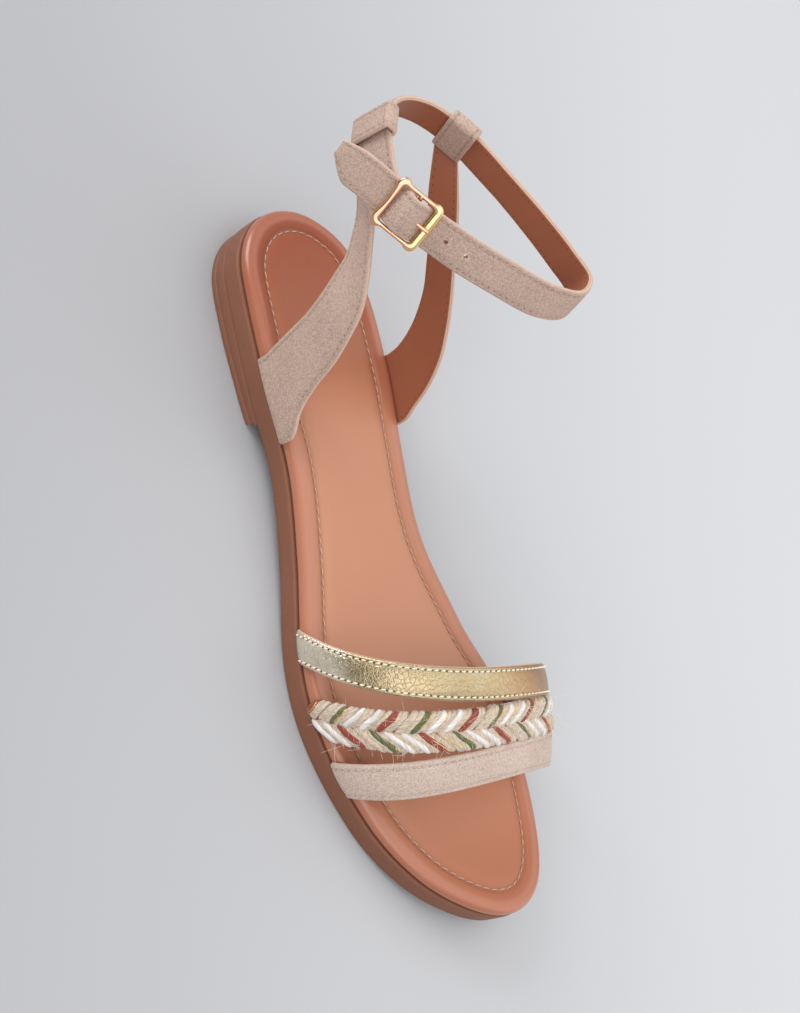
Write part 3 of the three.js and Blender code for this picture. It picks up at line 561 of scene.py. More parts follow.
def rounded(half_x, half_y, corner, steps):
    """A rectangle with rounded corners, as points in order round it."""
    x, y = half_x - corner, half_y - corner
    path = []
    for cx, cy, start in ((x, y, 0), (-x, y, 90), (-x, -y, 180), (x, -y, 270)):
        for k in range(steps + 1):
            a = math.radians(start + 90 * k / steps)
            path.append((cx + corner * math.cos(a), cy + corner * math.sin(a)))
    return path


def join(name, pieces):
    activate(pieces[0])
    for piece in pieces[1:]:
        piece.select_set(True)
    bpy.ops.object.join()
    piece = bpy.context.object
    piece.name = piece.data.name = name
    return piece


def seat(piece, slot, *nodes):
    """A finished piece rides with the shoe and stands for the solids named."""
    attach(piece, "root")
    if nodes:
        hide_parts(*nodes)
    return piece


def dress(material, *pieces):
    for piece in pieces:
        piece.data.materials.clear()
        piece.data.materials.append(material)


# ---------------------------------------------------------------- shader nodes

def tint(r, g, b):
    """Linear colour from a 0-255 display colour."""
    return tuple((c / 255 / 12.92) if c / 255 <= 0.04045 else ((c / 255 + 0.055) / 1.055) ** 2.4
                 for c in (r, g, b)) + (1.0,)


def opaque(colour):
    return colour[:] + (1.0,)


def scaled(colour, factor):
    return tuple(min(1, c * factor) for c in colour[:3]) + (1.0,)


class Wire:
    """An output of a shader node, which adds, scales and divides like a number."""

    def __init__(self, nodes, socket):
        self.nodes, self.socket = nodes, socket

    def maths(self, operation, other=0.0):
        return self.nodes.put("Math", {"operation": operation}, {0: self, 1: other})

    def __add__(self, other):
        return self.maths("ADD", other)

    def __sub__(self, other):
        return self.maths("SUBTRACT", other)

    def __mul__(self, other):
        return self.maths("MULTIPLY", other)

    def __truediv__(self, other):
        return self.maths("DIVIDE", other)

    def __abs__(self):
        return self.maths("ABSOLUTE")

    def spread(self, low, high, to_low=0.0, to_high=1.0, step="LINEAR"):
        """Lays one range of this value over another and holds it at both ends."""
        numbers = dict(enumerate((self, low, high, to_low, to_high)))
        return self.nodes.put("MapRange", {"interpolation_type": step}, numbers)

    def ease(self, low, high, to_low=0.0, to_high=1.0):
        return self.spread(low, high, to_low, to_high, "SMOOTHSTEP")


class Nodes:
    """Adds shader nodes to a tree, each input linked or given its value."""

    def __init__(self, tree):
        self.tree = tree

    def fill(self, node, values):
        for key, value in values.items():
            socket = node.inputs[key.replace("_", " ") if isinstance(key, str) else key]
            if isinstance(value, Wire):
                self.tree.links.new(value.socket, socket)
            else:
                socket.default_value = value

    def put(self, kind, settings=None, values=None, output=0, **named):
        """One output of a new node, made with its settings and its inputs by number or by name."""
        node = self.tree.nodes.new("ShaderNode" + kind)
        for key, value in (settings or {}).items():
            setattr(node, key, value)
        self.fill(node, {**(values or {}), **named})
        return Wire(self, node.outputs[output])

    def parts(self, vector):
        node = self.tree.nodes.new("ShaderNodeSeparateXYZ")
        self.fill(node, {0: vector})
        return [Wire(self, socket) for socket in node.outputs]

    def noise(self, vector, scale, detail=2.0, roughness=0.5, distortion=0.0):
        return self.put("TexNoise", output="Fac", Vector=vector, Scale=scale, Detail=detail,
                        Roughness=roughness, Distortion=distortion)

    def tone(self, factor, a, b, mode="MIX"):
        return self.put("Mix", {"data_type": "RGBA", "blend_type": mode}, {0: factor, 6: a, 7: b}, output=2)

    def layers(self, colour, *over):
        """Colours laid one over another, each with its share."""
        for share, next_colour in over:
            colour = self.tone(share, colour, next_colour)
        return colour

    def bump(self, height, distance, strength):
        return self.put("Bump", Height=height, Distance=distance, Strength=strength)

    def effect(self, name, **given):
        """The outputs of a shared effect by name."""
        node = self.tree.nodes.new("ShaderNodeGroup")
        node.node_tree = effect_tree(name)
        self.fill(node, given)
        return {socket.name: Wire(self, socket) for socket in node.outputs}


class Finish(Nodes):
    """A new material: a shader, and the object's own coordinates to lay its patterns on."""

    def __init__(self, name):
        self.material = bpy.data.materials.new(name)
        self.material.use_nodes = True
        super().__init__(self.material.node_tree)
        self.tree.nodes.clear()
        self.shader = self.tree.nodes.new("ShaderNodeBsdfPrincipled")
        output = self.tree.nodes.new("ShaderNodeOutputMaterial")
        self.tree.links.new(self.shader.outputs[0], output.inputs[0])
        self.coords = self.put("TexCoord", output="Object")

    def lay(self):
        """How far across and along the strap, in millimetres."""
        return self.parts(self.put("UVMap", {"uv_map": "lay"}))[:2]

    def depth(self):
        """+1 on a strap's outer face, -1 on its inner face."""
        return self.put("Attribute", {"attribute_name": "depth"}, output="Fac")

    def shaded(self, **values):
        self.fill(self.shader, values)
        return self.material


def nap_nodes(nodes, given):
    """Suede: short fibres in soft patches, with a speckle."""
    fine = nodes.noise(given["Vector"], 3100, detail=4, roughness=0.75)
    mid = nodes.noise(given["Vector"], 1500, detail=3, roughness=0.65)
    patch = nodes.noise(given["Vector"], 60)
    return {
        "Speckle": (fine * 0.68 + mid * 0.32).spread(0.38, 0.6),
        "Patch": patch.spread(0.3, 0.7),
        "Height": fine * 0.55 + mid * 0.9,
    }


def grain_nodes(nodes, given):
    """Smooth leather: shallow pores and faint creases."""
    cells = nodes.put("TexVoronoi", {"feature": "SMOOTH_F1"}, Vector=given["Vector"], Scale=given["Scale"],
                      Randomness=1.0)
    fine = nodes.noise(given["Vector"], given["Scale"] * 1.7, detail=3)
    cloud = nodes.noise(given["Vector"], 28, detail=3, roughness=0.55)
    return {"Height": cells * 0.6 + fine * 0.5, "Cloud": cloud.spread(0.3, 0.7)}


def stitch_nodes(nodes, given):
    """Masks for painted shade along a seam: a pressed line at a distance from a strap's middle, a needle hole at
    each stitch, and the band under the thread.
    """
    off = abs(abs(given["Across"]) - given["Offset"])
    beat = abs((given["Along"] / given["Pitch"]).maths("FRACT") - 0.5)
    return {
        "Line": off.ease(0.15, 0.75, 1.0, 0.0),
        "Hole": beat.ease(0.36, 0.46) * off.ease(0.2, 0.42, 1.0, 0.0),
        "Thread": off.ease(0.2, 0.4, 1.0, 0.0),
    }


EFFECTS = {
    "suede_nap": (nap_nodes, {"Vector": None}, ("Speckle", "Patch", "Height")),
    "leather_grain": (grain_nodes, {"Vector": None, "Scale": 900.0}, ("Height", "Cloud")),
    "stitch_line": (stitch_nodes, {"Across": 0.0, "Along": 0.0, "Offset": 4.0, "Pitch": SUEDE_PITCH},
                    ("Line", "Hole", "Thread")),
}


def effect_tree(name):
    """The node group of a shared effect, with named sockets, built once."""
    if name in bpy.data.node_groups:
        return bpy.data.node_groups[name]
    build, inputs, outputs = EFFECTS[name]
    tree = bpy.data.node_groups.new(name, "ShaderNodeTree")
    for label, default in inputs.items():
        kind = "NodeSocketVector" if default is None else "NodeSocketFloat"
        socket = tree.interface.new_socket(label, in_out="INPUT", socket_type=kind)
        if default is not None:
            socket.default_value = default
    for label in outputs:
        tree.interface.new_socket(label, in_out="OUTPUT", socket_type="NodeSocketFloat")
    nodes = Nodes(tree)
    source = tree.nodes.new("NodeGroupInput")
    target = tree.nodes.new("NodeGroupOutput")
    nodes.fill(target, build(nodes, {label: Wire(nodes, source.outputs[label]) for label in inputs}))
    return tree


# ---------------------------------------------------------------- materials

def suede_material(name, stitch_at, base, shade, edge, lining):
    """Suede outside, smooth leather inside, and a pale cut edge between them."""
    m = Finish(name)
    across, along = m.lay()
    nap = m.effect("suede_nap", Vector=m.coords)
    grain = m.effect("leather_grain", Vector=m.coords, Scale=1500.0)
    line = m.effect("stitch_line", Across=across, Along=along, Offset=stitch_at, Pitch=SUEDE_PITCH)
    depth = m.depth()
    outside = depth.spread(-0.88, -0.74)
    rim = depth.spread(0.9, 0.3) * outside
    dark = scaled(shade, 0.35)
    outer = m.layers(
        m.tone(nap["Speckle"], shade, base), (nap["Patch"] * 0.16, scaled(base, 1.22)), (rim * 0.6, edge),
        # Painted shade along the seams: the pressed line, the band under the thread and the needle holes are
        # darkened.
        (line["Line"] * 0.15, shade), (line["Thread"] * 0.1, dark), (line["Hole"] * 0.55, dark))
    inner = m.layers(
        # Painted shade: the needle holes are darkened on the lining too.
        lining, (grain["Cloud"] * 0.4, scaled(lining, 0.72)), (line["Hole"] * 0.7, scaled(lining, 0.3)))
    between = abs(depth + 0.3).spread(0.05, 0.2, 0.3, 0.0)
    pores, fuzz = m.bump(grain["Height"], 0.00006, 0.5), m.bump(nap["Height"], 0.00022, 0.85)
    return m.shaded(
        Base_Color=m.layers(inner, (outside, outer), (between, scaled(lining, 0.45))),
        Roughness=outside.spread(0, 1, 0.5, 0.95),
        Normal=m.put("Mix", {"data_type": "VECTOR"}, {0: outside, 4: pores, 5: fuzz}, output=1),
        Sheen_Weight=0.25, Sheen_Roughness=0.45, Sheen_Tint=base, Specular_IOR_Level=0.25)


def sandal_suede(name, stitch_at, colours):
    return suede_material(name, stitch_at, opaque(colours.suede_colour), opaque(colours.suede_shade),
                          opaque(colours.edge_colour), opaque(colours.lining_colour))


def gold_material(colours):
    """Metallic foil on thin leather, finely crinkled, its turned edges worn pink, brown inside, with painted
    reflections along its length and painted shade in its creases and along its stitches.
    """
    m = Finish("gold_foil")
    across, along = m.lay()
    wobble = m.put("TexNoise", output="Color", Vector=m.coords, Scale=500.0, Detail=3.0)
    bent = m.tone(0.0014, m.coords, wobble, "ADD")
    cells, small = (m.put("TexVoronoi", {"feature": "DISTANCE_TO_EDGE"}, Vector=bent, Scale=scale)
                    for scale in (620.0, 1500.0))
    crease = cells.spread(0.0, 0.12) + small.spread(0.0, 0.2) * 0.45
    broad = m.noise(m.coords, 130, detail=4, roughness=0.6)
    fine = m.noise(m.coords, 2600)
    depth = m.depth()
    outside = depth.spread(-0.3, -0.1)
    rim = depth.spread(0.8, 0.3) * outside
    line = m.effect("stitch_line", Across=across, Along=along,
                    Offset=FRONT["gold_strap"][0] / 2 - GOLD_STITCH_IN, Pitch=GOLD_PITCH)
    outer = m.layers(
        # Painted reflection: a bright silver band over the first 23 to 33 mm from the lateral end.
        opaque(colours.gold_colour), (along.ease(23, 33, 1, 0), tint(246, 237, 216)),
        # Painted reflection: the foil turns pink from 72 to 98 mm along, standing for the footbed mirrored in it.
        (along.ease(72, 98), tint(184, 142, 106)), (broad.spread(0.35, 0.65) * 0.35, tint(176, 150, 108)),
        # Painted shade: the foil is darkened along the creases of its crinkle.
        (crease.spread(0.7, 0.1) * 0.3, tint(96, 78, 52)), (rim, tint(232, 196, 166)),
        # Painted shade: a dark band along the stitch line, which shows as dark needle holes between the stitches.
        (line["Thread"] * 0.85, tint(70, 50, 34)))
    return m.shaded(
        Base_Color=m.tone(outside, opaque(colours.lining_colour), outer),
        Roughness=broad.spread(0.3, 0.7, 0.15, 0.24) + fine * 0.07 + rim * 0.25,
        Metallic=outside * rim.spread(0, 1, 0.96, 0.2),
        Normal=m.bump(crease * 0.55 + broad * 2.2, 0.00014, 0.75))


def footbed_material(colours):
    """Tan leather over foam, warmer at the heel and the toes, with a soft sheen on the rim; the heel is darkened
    partly in the leather's own tone and partly as painted shade, and painted shade lies on the rim's inner slope
    and in the channel.
    """
    m = Finish("footbed_leather")
    grain = m.effect("leather_grain", Vector=m.coords, Scale=1100.0)
    x = m.parts(m.coords)[0]
    heel, toe = (x.ease((HEEL_BACK_X + start) * MM, (HEEL_BACK_X + end) * MM)
                 for start, end in ((95, 12), (170, 245)))
    base, deep = opaque(colours.footbed_colour), opaque(colours.heel_colour)
    across = m.lay()[0]
    rim = across.ease(5.5, 3.0)
    # Mask for painted shade on the slope inside the rim.
    slope = abs(across - 6.0).ease(0.6, 2.6, 1, 0)
    # Mask for painted shade in the sewn channel.
    channel = abs(across - CHANNEL_AT).ease(0.3, 1.4, 1, 0)
    return m.shaded(
        Base_Color=m.layers(
            # The heel seat is darker partly in the leather's own tone and partly as painted shade.
            base, (heel * 0.95, deep), (toe * 0.8, opaque(colours.toe_colour)),
            (grain["Cloud"] * 0.16, scaled(base, 0.8)), (rim * 0.6, opaque(colours.rim_colour)),
            # Painted shade: the slope inside the rim, strongest at the heel, and the sewn channel are darkened.
            (slope * heel.spread(0, 0.7, 0.2, 0.5), deep), (channel * 0.5, scaled(base, 0.55))),
        Roughness=grain["Cloud"].spread(0, 1, 0.36, 0.47) + rim * -0.06,
        Normal=m.bump(grain["Height"], 0.00009, 0.5),
        Coat_Weight=rim.spread(0, 1, 0.08, 0.9), Coat_Roughness=0.24, Specular_IOR_Level=0.3)


def sole_material(colours):
    """Moulded brown sole: fine scuffs along its length, lighter in patches, a shallow tread below."""
    m = Finish("sole_rubber")
    streaks = m.noise(m.put("Mapping", Vector=m.coords, Scale=(0.25, 1.0, 2.2)), 900, detail=3, roughness=0.6)
    cloud = m.noise(m.coords, 55, detail=3)
    base = opaque(colours.sole_colour)
    down = m.parts(m.put("NewGeometry", output="Normal"))[2].spread(-0.8, -0.95)
    x, y, _ = m.parts(m.coords)
    rib = ((x + abs(y) * 0.6) * 1500.0).maths("SINE")
    tread = rib.spread(-0.3, 0.3) * down
    return m.shaded(
        Base_Color=m.layers(base, (cloud.spread(0.3, 0.7) * 0.35, scaled(base, 1.18)),
                            (streaks.spread(0.45, 0.75) * 0.18, scaled(base, 0.7))),
        Roughness=streaks.spread(0.3, 0.7, 0.5, 0.62),
        Normal=m.bump(streaks * 0.35 + tread * 5.0, 0.00008, 0.6), Specular_IOR_Level=0.35)


def thread_material(name, colour, rough):
    """Twisted sewing thread."""
    m = Finish(name)
    fine = m.noise(m.coords, 3500)
    return m.shaded(Base_Color=m.tone(fine.spread(0.3, 0.6), scaled(colour, 0.6), colour), Roughness=rough,
                    Normal=m.bump(fine, 0.00008, 0.7), Sheen_Weight=0.2)


def yarn_material(name, colour, dark, rough, strand=0.45, lift=0.00025):
    """A cord of twisted fibres: u turns round it and v runs along it, both in millimetres."""
    m = Finish(name)
    across, along = m.lay()
    lines = m.put("CombineXYZ", X=across + along * 0.55, Y=along * 0.16)
    fibre = m.noise(lines, 1 / strand, detail=3, roughness=0.6, distortion=0.4)
    fine = m.noise(m.coords, 2500)
    return m.shaded(Base_Color=m.tone(fibre.spread(0.32, 0.62), dark, colour), Roughness=rough,
                    Normal=m.bump(fibre + fine * 0.35, lift, 0.8), Sheen_Weight=0.3, Sheen_Roughness=0.4)


def metal_material(name, colour, rough):
    """Plated metal: polished, with faint handling marks."""
    m = Finish(name)
    cloud, fine = m.noise(m.coords, 240, detail=3), m.noise(m.coords, 1800)
    return m.shaded(Base_Color=colour, Metallic=1.0, Roughness=cloud.spread(0.3, 0.7, rough * 0.8, rough * 1.3),
                    Normal=m.bump(cloud + fine * 0.15, 0.00005, 0.35))


# ---------------------------------------------------------------- settings

def length_setting(label, description, millimetres):
    return bpy.props.FloatProperty(name=label, description=description, default=millimetres * MM,
                                   min=0.00001, unit="LENGTH", subtype="DISTANCE")


def colour_setting(label, description, shade):
    return bpy.props.FloatVectorProperty(name=label, description=description, default=tint(*shade)[:3],
                                         min=0, max=1, size=3, subtype="COLOR")


class SandalSizes(bpy.types.PropertyGroup):
    """Sizes of the details that lie on the solids"""
    gold_pitch: length_setting("Gold stitch", "Length of one stitch on the gold strap", GOLD_PITCH)
    suede_pitch: length_setting("Suede stitch", "Length of one stitch on the suede pieces", SUEDE_PITCH)
    footbed_pitch: length_setting("Footbed stitch", "Length of one stitch in the footbed's channel", 3.4)
    braid_pitch: length_setting("Braid pitch", "Distance from one strand of the braid to the next", 5.2)
    braid_reach: length_setting("Braid slant", "How far a strand runs along on its way to the edge", 8.8)


class SandalColours(bpy.types.PropertyGroup):
    """Colours of the finishes"""
    suede_colour: colour_setting("Suede", "Light fibres of the suede", (200, 176, 160))
    suede_shade: colour_setting("Suede shade", "Deep fibres of the suede", (146, 119, 107))
    edge_colour: colour_setting("Edge", "Cut and turned edges", (216, 182, 160))
    lining_colour: colour_setting("Lining", "Smooth leather inside the straps", (156, 94, 67))
    footbed_colour: colour_setting("Footbed", "Middle of the footbed", (186, 130, 101))
    # The heel seat's darker tone is partly the leather's own and partly painted shade.
    heel_colour: colour_setting("Heel seat", "Footbed at the heel", (140, 62, 30))
    toe_colour: colour_setting("Toe seat", "Footbed at the toes", (160, 89, 56))
    rim_colour: colour_setting("Rim", "Rounded rim of the footbed", (166, 94, 63))
    sole_colour: colour_setting("Sole", "Moulded sole", (127, 82, 61))
    gold_colour: colour_setting("Gold foil", "Metallic face of the gold strap", (184, 168, 134))
    metal_colour: colour_setting("Buckle", "Rose gold plate", (236, 180, 148))
    bar_colour: colour_setting("Buckle bar", "Yellower end bar", (240, 206, 150))


# ---------------------------------------------------------------- stitches

def one_stitch(name, length, thick, material):
    """A single stitch: a stretched sphere that bows up between its two holes."""
    deselect()
    bpy.ops.mesh.primitive_uv_sphere_add(segments=8, ring_count=6, radius=1.0)
    piece = bpy.context.object
    piece.name = name
    co = np.array([v.co[:] for v in piece.data.vertices])
    co = co[:, [2, 1, 0]] * [length / 2, thick / 2, thick / 2]
    co[:, 2] += thick * 0.5 * (1 - (co[:, 0] / (length / 2)) ** 2) - thick * 0.28
    piece.data.vertices.foreach_set("co", (co * MM).ravel())
    bpy.ops.object.shade_smooth()
    dress(material, piece)
    return piece


def sew(name, slot, places, length, thick, material):
    """Copies of one stitch, each at a place with its run and its way up, joined into a seam."""
    pattern = one_stitch(name + "_pattern", length, thick, material)
    turn = random.Random(7)
    seams = []
    for place, run, up in places:
        run = unit(run)
        up = unit(up - run * up.dot(run))
        angle = math.radians(turn.uniform(3, 9))
        run = run * math.cos(angle) + np.cross(up, run) * math.sin(angle)
        copy = link(name, pattern.data.copy())
        copy.data.transform(matrix_of(run, np.cross(up, run), up, in_frame(place)))
        seams.append(copy)
    bpy.data.objects.remove(pattern)
    seat(join(name, seams), slot)


def seam_on(lane, surface, pitch, start, end):
    """Places of the stitches along a line of points; surface gives the way up at each."""
    lane = np.asarray(lane)
    steps = lengths_along(lane)
    places = []
    at = start
    while at < steps[-1] - end:
        low, high = (at_length(at + share * pitch, steps, lane) for share in (0.08, 0.92))
        places.append(((low + high) / 2, high - low, at_length(at + pitch / 2, steps, surface)))
        at += pitch
    return places


def edge_seams(grid, normal, shares, width, stitch_in, raised, pitch, start, end):
    """Places of the stitches along both edges of a strap."""
    places = []
    for edge in (stitch_in, width - stitch_in):
        j = int(np.argmin(abs(shares * width - edge)))
        places += seam_on(grid[:, j] + normal[:, j] * (STRAP / 2 + raised), normal[:, j], pitch, start, end)
    return places


def sew_suede(name, places, pitch, thread, colour):
    sew(name, "suede", places, pitch * 0.8, SUEDE_THREAD, thread_material(thread, colour, 0.8))


# ---------------------------------------------------------------- pieces

class SANDAL_OT_sole(bpy.types.Operator):
    """Moulded sole: a plate that follows the last, on a low heel block"""
    bl_idname = "sandal.sole"
    bl_label = "Sole"

    EDGE = 0.9

    def execute(self, context):
        bevel = [(self.EDGE * out, self.EDGE * up, 1) for out, up in ((0.62, 0.08), (0.3, 0.3), (0.08, 0.62))]
        low = [(self.EDGE, 0, fill) for fill in (0, 0.3, 0.6, 0.85, 1)] + bevel
        top = bevel[::-1] + [(self.EDGE, 0, fill) for fill in (1, 0.9, 0.6, 0.3, 0)]
        rows = [sole_ring(inset, lambda x: underside_of(x) + up, fill) for inset, up, fill in low]
        rows += [sole_ring(0, lambda x: underside_of(x) + mix(self.EDGE, PLATE - self.EDGE, share))
                 for share in evenly(4)]
        rows += [sole_ring(inset, lambda x: feather_at(x) - up, fill) for inset, up, fill in top]
        pieces = [laid("sole_plate", rows, fill=False, angle=50), self.heel_block()]
        dress(sole_material(context.scene.sandal_colours), *pieces)
        seat(join("sole", pieces), "sole", "outsole")
        return {"FINISHED"}

    def heel_block(self):
        """The heel's stack: its breast is a straight line across, one line runs round its side."""
        line = ((-0.5, 0), (-0.22, 0.1), (0, 0.5), (0.22, 0.1), (0.5, 0), (2.2, 0))
        low = [(0, 0.9), (0.15, 0.35), (0.5, 0.06), (0.9, 0)] + [(HEEL_LIFT + up, inset) for up, inset in line]
        top = [(-1.2, 0), (-0.6, 0.06), (-0.1, 0.55), (1.5, 0.8)]
        rows = [self.heel_ring(lambda x: up, inset, up) for up, inset in low]
        rows += [self.heel_ring(lambda x: max(underside_of(x), HEEL_RISE * 0.5) + up, inset, HEEL_RISE)
                 for up, inset in top]
        return laid("heel_block", rows, angle=50)

    def heel_ring(self, height, inset, level):
        inset += HEEL_INSET
        breast = HEEL_LENGTH + mix(-BREAST_SLANT / 2, BREAST_SLANT, level / HEEL_RISE)
        stop, steps = angle_of(breast / LENGTH), 60
        turns = [stop * i / steps for i in range(steps + 1)]
        medial = [outline_point(a, "medial", inset) for a in turns]
        lateral = [outline_point(a, "lateral", inset) for a in reversed(turns[1:])]
        for p in medial + lateral:
            p[0] = min(p[0], breast)
        across = [mix(medial[-1], lateral[0], t) for t in (0.05, 0.2, 0.4, 0.6, 0.8, 0.95)]
        return closed_at(medial + across + lateral, height)


class SANDAL_OT_footbed(bpy.types.Operator):
    """Footbed: a rounded rim, a sewn channel all round and a padded middle"""
    bl_idname = "sandal.footbed"
    bl_label = "Footbed"

    CENTRE = 40

    def execute(self, context):
        cup = through([at * LENGTH for at in (0, 0.1, 0.22, 0.34, 1)],
                      [HEEL_CUP * 0.6, HEEL_CUP, HEEL_CUP * 0.7, 0, 0])
        half, floor, pad = CHANNEL_WIDTH / 2, FOOTBED - CHANNEL_DEPTH, FOOTBED + PAD_RISE
        profile = [
            (1.1, 0, 0), (0.75, 0.15, 0), (0.4, 0.5, 0), (0.15, 0.95, 0), (0, 1.5, 0), (0.02, 2.1, 0),
            (0.2, 2.75, 0), (0.5, 3.32, 0), (0.9, 3.75, 0), (1.35, 4.05, 0), (1.85, 4.24, 0), (2.6, 4.36, 0.05),
            (3.6, 4.4, 0.1), (5.0, 4.36, 0.25), (6.1, 4.3, 0.36), (6.7, 4.2, 0.4), (7.1, 3.98, 0.45),
            (CHANNEL_AT - half, FOOTBED - CHANNEL_DEPTH * 0.8, 0.5), (CHANNEL_AT - 0.2, floor, 0.5),
            (CHANNEL_AT + half * 0.5, floor, 0.5), (CHANNEL_AT + half * 1.3, 4.02, 0.55),
            (CHANNEL_AT + 1.5, 4.35, 0.6), (CHANNEL_AT + 2.4, 4.68, 0.7), (CHANNEL_AT + 3.75, pad, 0.8),
            (CHANNEL_AT + 5.2, pad + 0.04, 0.9), (CHANNEL_AT + 6.75, pad, 1),
        ]
        inmost = profile[-1][0]
        turns = [(inset, up, dip, 1.0, inset) for inset, up, dip in profile]
        turns += [(inmost, pad, 1, fill, mix(self.CENTRE, inmost, fill)) for fill in (0.8, 0.6, 0.4, 0.2, 0)]
        rows = [sole_ring(FOOTBED_INSET + inset, lambda x: feather_at(x) + CLEARANCE + up - dip * cup(x), fill)
                for inset, up, dip, fill, _ in turns]
        bed = laid("footbed_leather", rows, across=[[turn[4]] * len(rows[0]) for turn in turns], angle=60)
        dress(footbed_material(context.scene.sandal_colours), bed)
        seat(bed, "footbed", "footbed")
        self.sew_channel(context, lambda x: feather_at(x) + CLEARANCE + floor + 0.12 - 0.5 * cup(x))
        return {"FINISHED"}

    def sew_channel(self, context, height):
        loop = np.array(sole_ring(FOOTBED_INSET + CHANNEL_AT + 0.1, height))
        length = lengths_along(loop)[-1]
        pitch = length / round(length / (context.scene.sandal_sizes.footbed_pitch / MM))
        places = seam_on(loop, np.tile(UP, (len(loop), 1)), pitch, 0, 0.5 * pitch)
        thread = thread_material("footbed_thread", tint(206, 160, 134), 0.7)
        sew("footbed_stitches", "footbed", places, pitch * 0.8, 0.46, thread)


class SANDAL_OT_gold_strap(bpy.types.Operator):
    """Gold strap over the instep, sewn along both edges"""
    bl_idname = "sandal.gold_strap"
    bl_label = "Gold strap"

    def execute(self, context):
        width = FRONT["gold_strap"][0]
        shares = across_shares(width, STRAP, groove=GOLD_STITCH_IN)
        grid = strap_grid("gold_strap", shares, 150)
        strap = skin("gold_band", grid, shares, width, STRAP, groove=GOLD_STITCH_IN, crown=0.25)
        dress(gold_material(context.scene.sandal_colours), strap)
        seat(strap, "gold_leather", "gold_strap")
        pitch = context.scene.sandal_sizes.gold_pitch / MM
        places = edge_seams(grid, normals_of(grid), shares, width, GOLD_STITCH_IN, 0.1, pitch, 9, 9)
        thread = thread_material("cream_thread", tint(244, 232, 208), 0.5)
        sew("gold_stitches", "braid", places, pitch * 0.76, 0.66, thread)
        return {"FINISHED"}


class SANDAL_OT_toe_strap(bpy.types.Operator):
    """Suede strap over the toes"""
    bl_idname = "sandal.toe_strap"
    bl_label = "Toe strap"

    def execute(self, context):
        width = FRONT["toe_strap"][0]
        shares = across_shares(width, STRAP, groove=TOE_STITCH_IN)
        grid = strap_grid("toe_strap", shares, 150)
        strap = skin("toe_band", grid, shares, width, STRAP, groove=TOE_STITCH_IN, crown=0.3)
        lining = opaque(context.scene.sandal_colours.lining_colour)
        dress(suede_material("toe_suede", width / 2 - TOE_STITCH_IN, tint(216, 197, 185), tint(158, 133, 120),
                             tint(216, 186, 166), lining), strap)
        seat(strap, "suede", "toe_strap")
        pitch = context.scene.sandal_sizes.suede_pitch / MM
        places = edge_seams(grid, normals_of(grid), shares, width, TOE_STITCH_IN, 0.02, pitch, 9, 9)
        sew_suede("toe_stitches", places, pitch, "toe_thread", tint(214, 192, 176))
        return {"FINISHED"}


